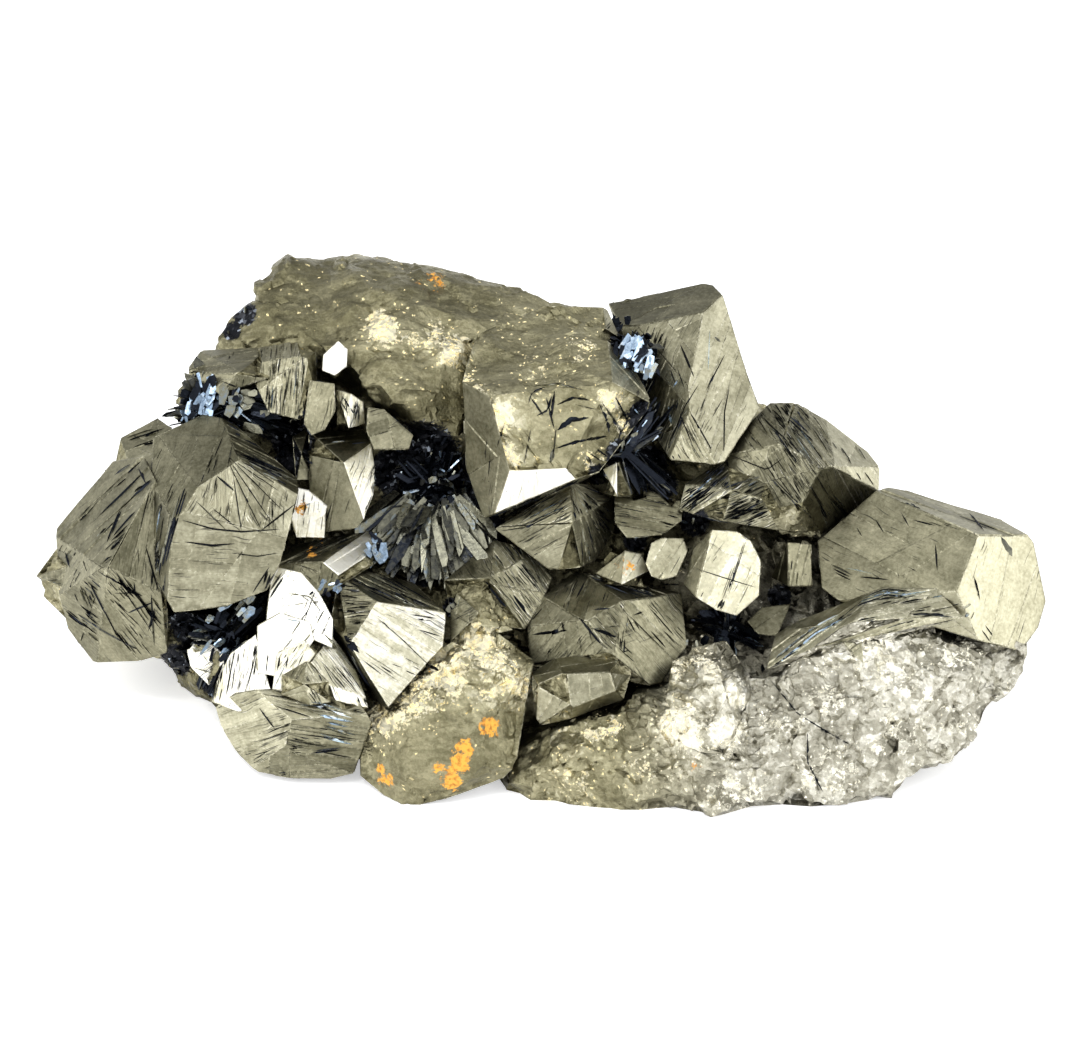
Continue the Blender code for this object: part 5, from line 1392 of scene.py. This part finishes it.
def paint_places(mesh):
    """The rust, glitter, hematite coat, silver and brightness of every point, from the lists of places."""
    count = len(mesh.vertices)
    points, normals = numpy.empty(3 * count), numpy.empty(3 * count)
    mesh.vertices.foreach_get("co", points)
    mesh.vertex_normals.foreach_get("vector", normals)
    points = points.reshape(-1, 3) / MM - (0, 0, MIDDLE_HEIGHT)
    right, up, towards = (points @ numpy.array(axis) for axis in (VIEW_RIGHT, VIEW_UP, VIEW_OUT))
    facing = normals.reshape(-1, 3) @ numpy.array(VIEW_OUT)
    shown = numpy.clip((facing + 0.25) * 4, 0, 1) * (towards > BACK_DEPTH)

    def spots(places):
        strength = numpy.zeros(count)
        for (x, y), spread, most in places:
            far = numpy.hypot(right - x, up - y) / spread
            strength = numpy.maximum(strength, most * numpy.clip(1 - far * far / FADE ** 2, 0, 1))
        return strength * shown

    # Brightness from the listed places: the rock's own tone with painted highlight and shade.
    weight, tone = numpy.full(count, BROKEN_WEIGHT), numpy.full(count, BROKEN_WEIGHT * BROKEN_TONE)
    for (x, y), spread, bright in BROKEN_TONES_AND_LIGHT:
        near = numpy.exp(-((right - x) ** 2 + (up - y) ** 2) / (spread * TONE_REACH) ** 2) * shown
        weight += near
        tone += near * bright
    rightward = (right - SILVER_PLACE[0]) / SILVER_REACH[0]
    downward = (SILVER_PLACE[1] - up) / SILVER_REACH[1]
    attributes = {
        "rust": spots(RUST),
        "glitter": numpy.maximum(spots(GLITTER), LEAST_GLITTER),
        "coated": spots([(place, spread, 1.0) for place, spread in COATED]),
        "smooth": spots(SMOOTH),
        "silver": numpy.clip(rightward, 0, 1) * numpy.clip(downward, 0, 1),
        "place_tone_and_light": tone / weight,
    }
    for name, strength in attributes.items():
        made = mesh.attributes.new(name, "FLOAT", "POINT")
        made.data.foreach_set("value", strength.astype(numpy.float32))


def make_pyrite(node):
    """The pyrite in one closed mesh, and the hematite blades that lie on it."""
    dice = random.Random(11)
    work = bmesh.new()
    work.from_mesh(node.data)
    bmesh.ops.remove_doubles(work, verts=list(work.verts), dist=SAME_POINT * MM)
    bmesh.ops.dissolve_limit(work, angle_limit=SAME_PLANE, verts=list(work.verts), edges=list(work.edges))
    work.normal_update()
    group = work.faces.layers.int.new("group")
    found = find_faces(work, group)
    left_out = describe_faces(work, group, found, dice)
    for item in found[1:]:
        if item.normal.z < DOWNWARD and abs(item.offset) < UNDERSIDE_LEVEL * MM:
            left_out.add(item.number)
    members = {}
    for face in work.faces:
        if face[group] in left_out:
            face[group] = 0
        if face[group]:
            members.setdefault(face[group], []).append(face)

    blades = bmesh.new()
    shine = blades.faces.layers.float.new("shine")
    for number, cells in sorted(members.items()):
        item = found[number]
        cells = split_face(work, item, cells, group, dice)
        add_hairs(item, cells, group, blades, shine, dice)
        for edge in seams(cells, number, group):
            if edge.calc_length() < SHORTEST_SEAM * MM or dice.random() > item.filled * FILLED_SEAMS:
                continue
            start, end = (vertex.co.copy() for vertex in edge.verts)
            if dice.random() < 0.5:
                start, end = end, start
            end = end.lerp(start, dice.uniform(0.0, 0.35))
            width, rise = dice.choice(HAIR_WIDTHS) * MM, dice.uniform(*SEAM_RISES) * MM
            add_blade(blades, start, end, item.normal, width, rise, dice.random() ** 3, shine)
    raise_cells(work, group, found, dice)
    refine(work, group)
    work.normal_update()
    relieve(work, group)
    sharpen(work, group)
    tree = BVHTree.FromBMesh(work)
    add_lines(tree, blades, shine, dice)
    add_druse(work, tree, group, blades, shine, dice)
    add_flashes(blades, shine, dice)
    paint_faces(work, group, found)
    return work, blades


def piece(name, work, materials, replaced=()):
    """A mesh that rides on the specimen."""
    mesh = bpy.data.meshes.new(name)
    work.to_mesh(mesh)
    work.free()
    for material in materials:
        mesh.materials.append(material)
    made = bpy.data.objects.new(name, mesh)
    bpy.context.scene.collection.objects.link(made)
    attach(made, "root")
    if replaced:
        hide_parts(*replaced)
    return made


# Stage, light and camera

def aim(item, place, target):
    """Puts a light or a camera into the scene, turned to its target."""
    item.location = place
    item.rotation_euler = (Vector(target) - Vector(place)).to_track_quat("-Z", "Y").to_euler()
    bpy.context.scene.collection.objects.link(item)


def add_floor():
    """The pale floor. It is stage."""
    floor = bmesh.new()
    bmesh.ops.create_grid(floor, x_segments=1, y_segments=1, size=4.0)
    mesh = bpy.data.meshes.new("floor")
    floor.to_mesh(mesh)
    floor.free()
    made, _, shader = shader_tree("floor")
    feed(shader, {
        "Base Color": (0.95, 0.95, 0.95, 1.0),
        "Roughness": 0.9,
        "Emission Color": (1.0, 1.0, 1.0, 1.0),
        "Emission Strength": 0.45,
    })
    mesh.materials.append(made)
    item = bpy.data.objects.new("floor", mesh)
    bpy.context.scene.collection.objects.link(item)


def add_light(name, place, power, size):
    """A square lamp, turned to the specimen."""
    light = bpy.data.lights.new(name, "AREA")
    light.energy = power
    light.size = size
    aim(bpy.data.objects.new(name, light), place, (0, 0, 0.02))


def add_world():
    """A pale room: darker high up and behind, lighter at the sides and in front."""
    world = bpy.data.worlds.new("room")
    world.use_nodes = True
    tree = world.node_tree
    direction = output_of(tree, "ShaderNodeTexCoord", "Generated")
    back = step_between(part(direction, "Y"), -0.2, 0.9)
    side = back.worked("ABSOLUTE", part(direction, "X"))
    feed(tree.nodes["Background"], {
        "Color": (0.97, 0.98, 1.0, 1.0),
        "Strength": side * 0.3 + 1.0 - back * 0.32,
    })
    bpy.context.scene.world = world


def add_camera():
    """The photograph's camera: far off, so that sizes hardly change with depth."""
    lens = bpy.data.cameras.new("camera")
    lens.sensor_fit = "HORIZONTAL"
    lens.sensor_width = 36.0
    lens.lens = 36.0 * CAMERA_DISTANCE / (PIXEL * MM * PHOTO_WIDTH)
    lens.clip_start = 0.05
    lens.clip_end = 20.0
    right = (PHOTO_WIDTH / 2 - ZERO_PIXEL[0]) * PIXEL
    up = (ZERO_PIXEL[1] - PHOTO_HEIGHT / 2) * PIXEL
    item = bpy.data.objects.new("camera", lens)
    aim(item, seen(right, up, CAMERA_DISTANCE / MM), seen(right, up))
    bpy.context.scene.camera = item


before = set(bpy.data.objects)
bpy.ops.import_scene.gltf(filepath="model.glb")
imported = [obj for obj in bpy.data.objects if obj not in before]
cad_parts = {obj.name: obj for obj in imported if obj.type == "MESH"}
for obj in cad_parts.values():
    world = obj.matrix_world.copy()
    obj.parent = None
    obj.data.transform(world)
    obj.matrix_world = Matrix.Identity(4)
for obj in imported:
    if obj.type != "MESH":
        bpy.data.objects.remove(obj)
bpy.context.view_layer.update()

crystal, broken_pyrite, hematite = crystal_material(), broken_material(), hematite_material()
pyrite_mesh, blade_mesh = make_pyrite(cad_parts["pyrite"])
body = piece("pyrite_body", pyrite_mesh, (crystal, broken_pyrite), ("pyrite",))
paint_places(body.data)
piece("hematite_blades", blade_mesh, (hematite,))
for number, (name, (middle, knot, sheaves)) in enumerate(NESTS.items()):
    nest = make_nest(middle, knot, sheaves, random.Random(number))
    piece(name + "_blades", nest, (hematite,), (name,))

add_floor()
add_world()
add_light("left", (-1.1, -0.5, 1.0), 8.0, 1.2)
add_light("right", (1.3, -0.4, 0.7), 7.0, 1.1)
add_light("spark", (-0.35, -0.6, 1.3), 3.0, 0.14)
add_camera()

bpy.context.scene.view_settings.view_transform = "Standard"
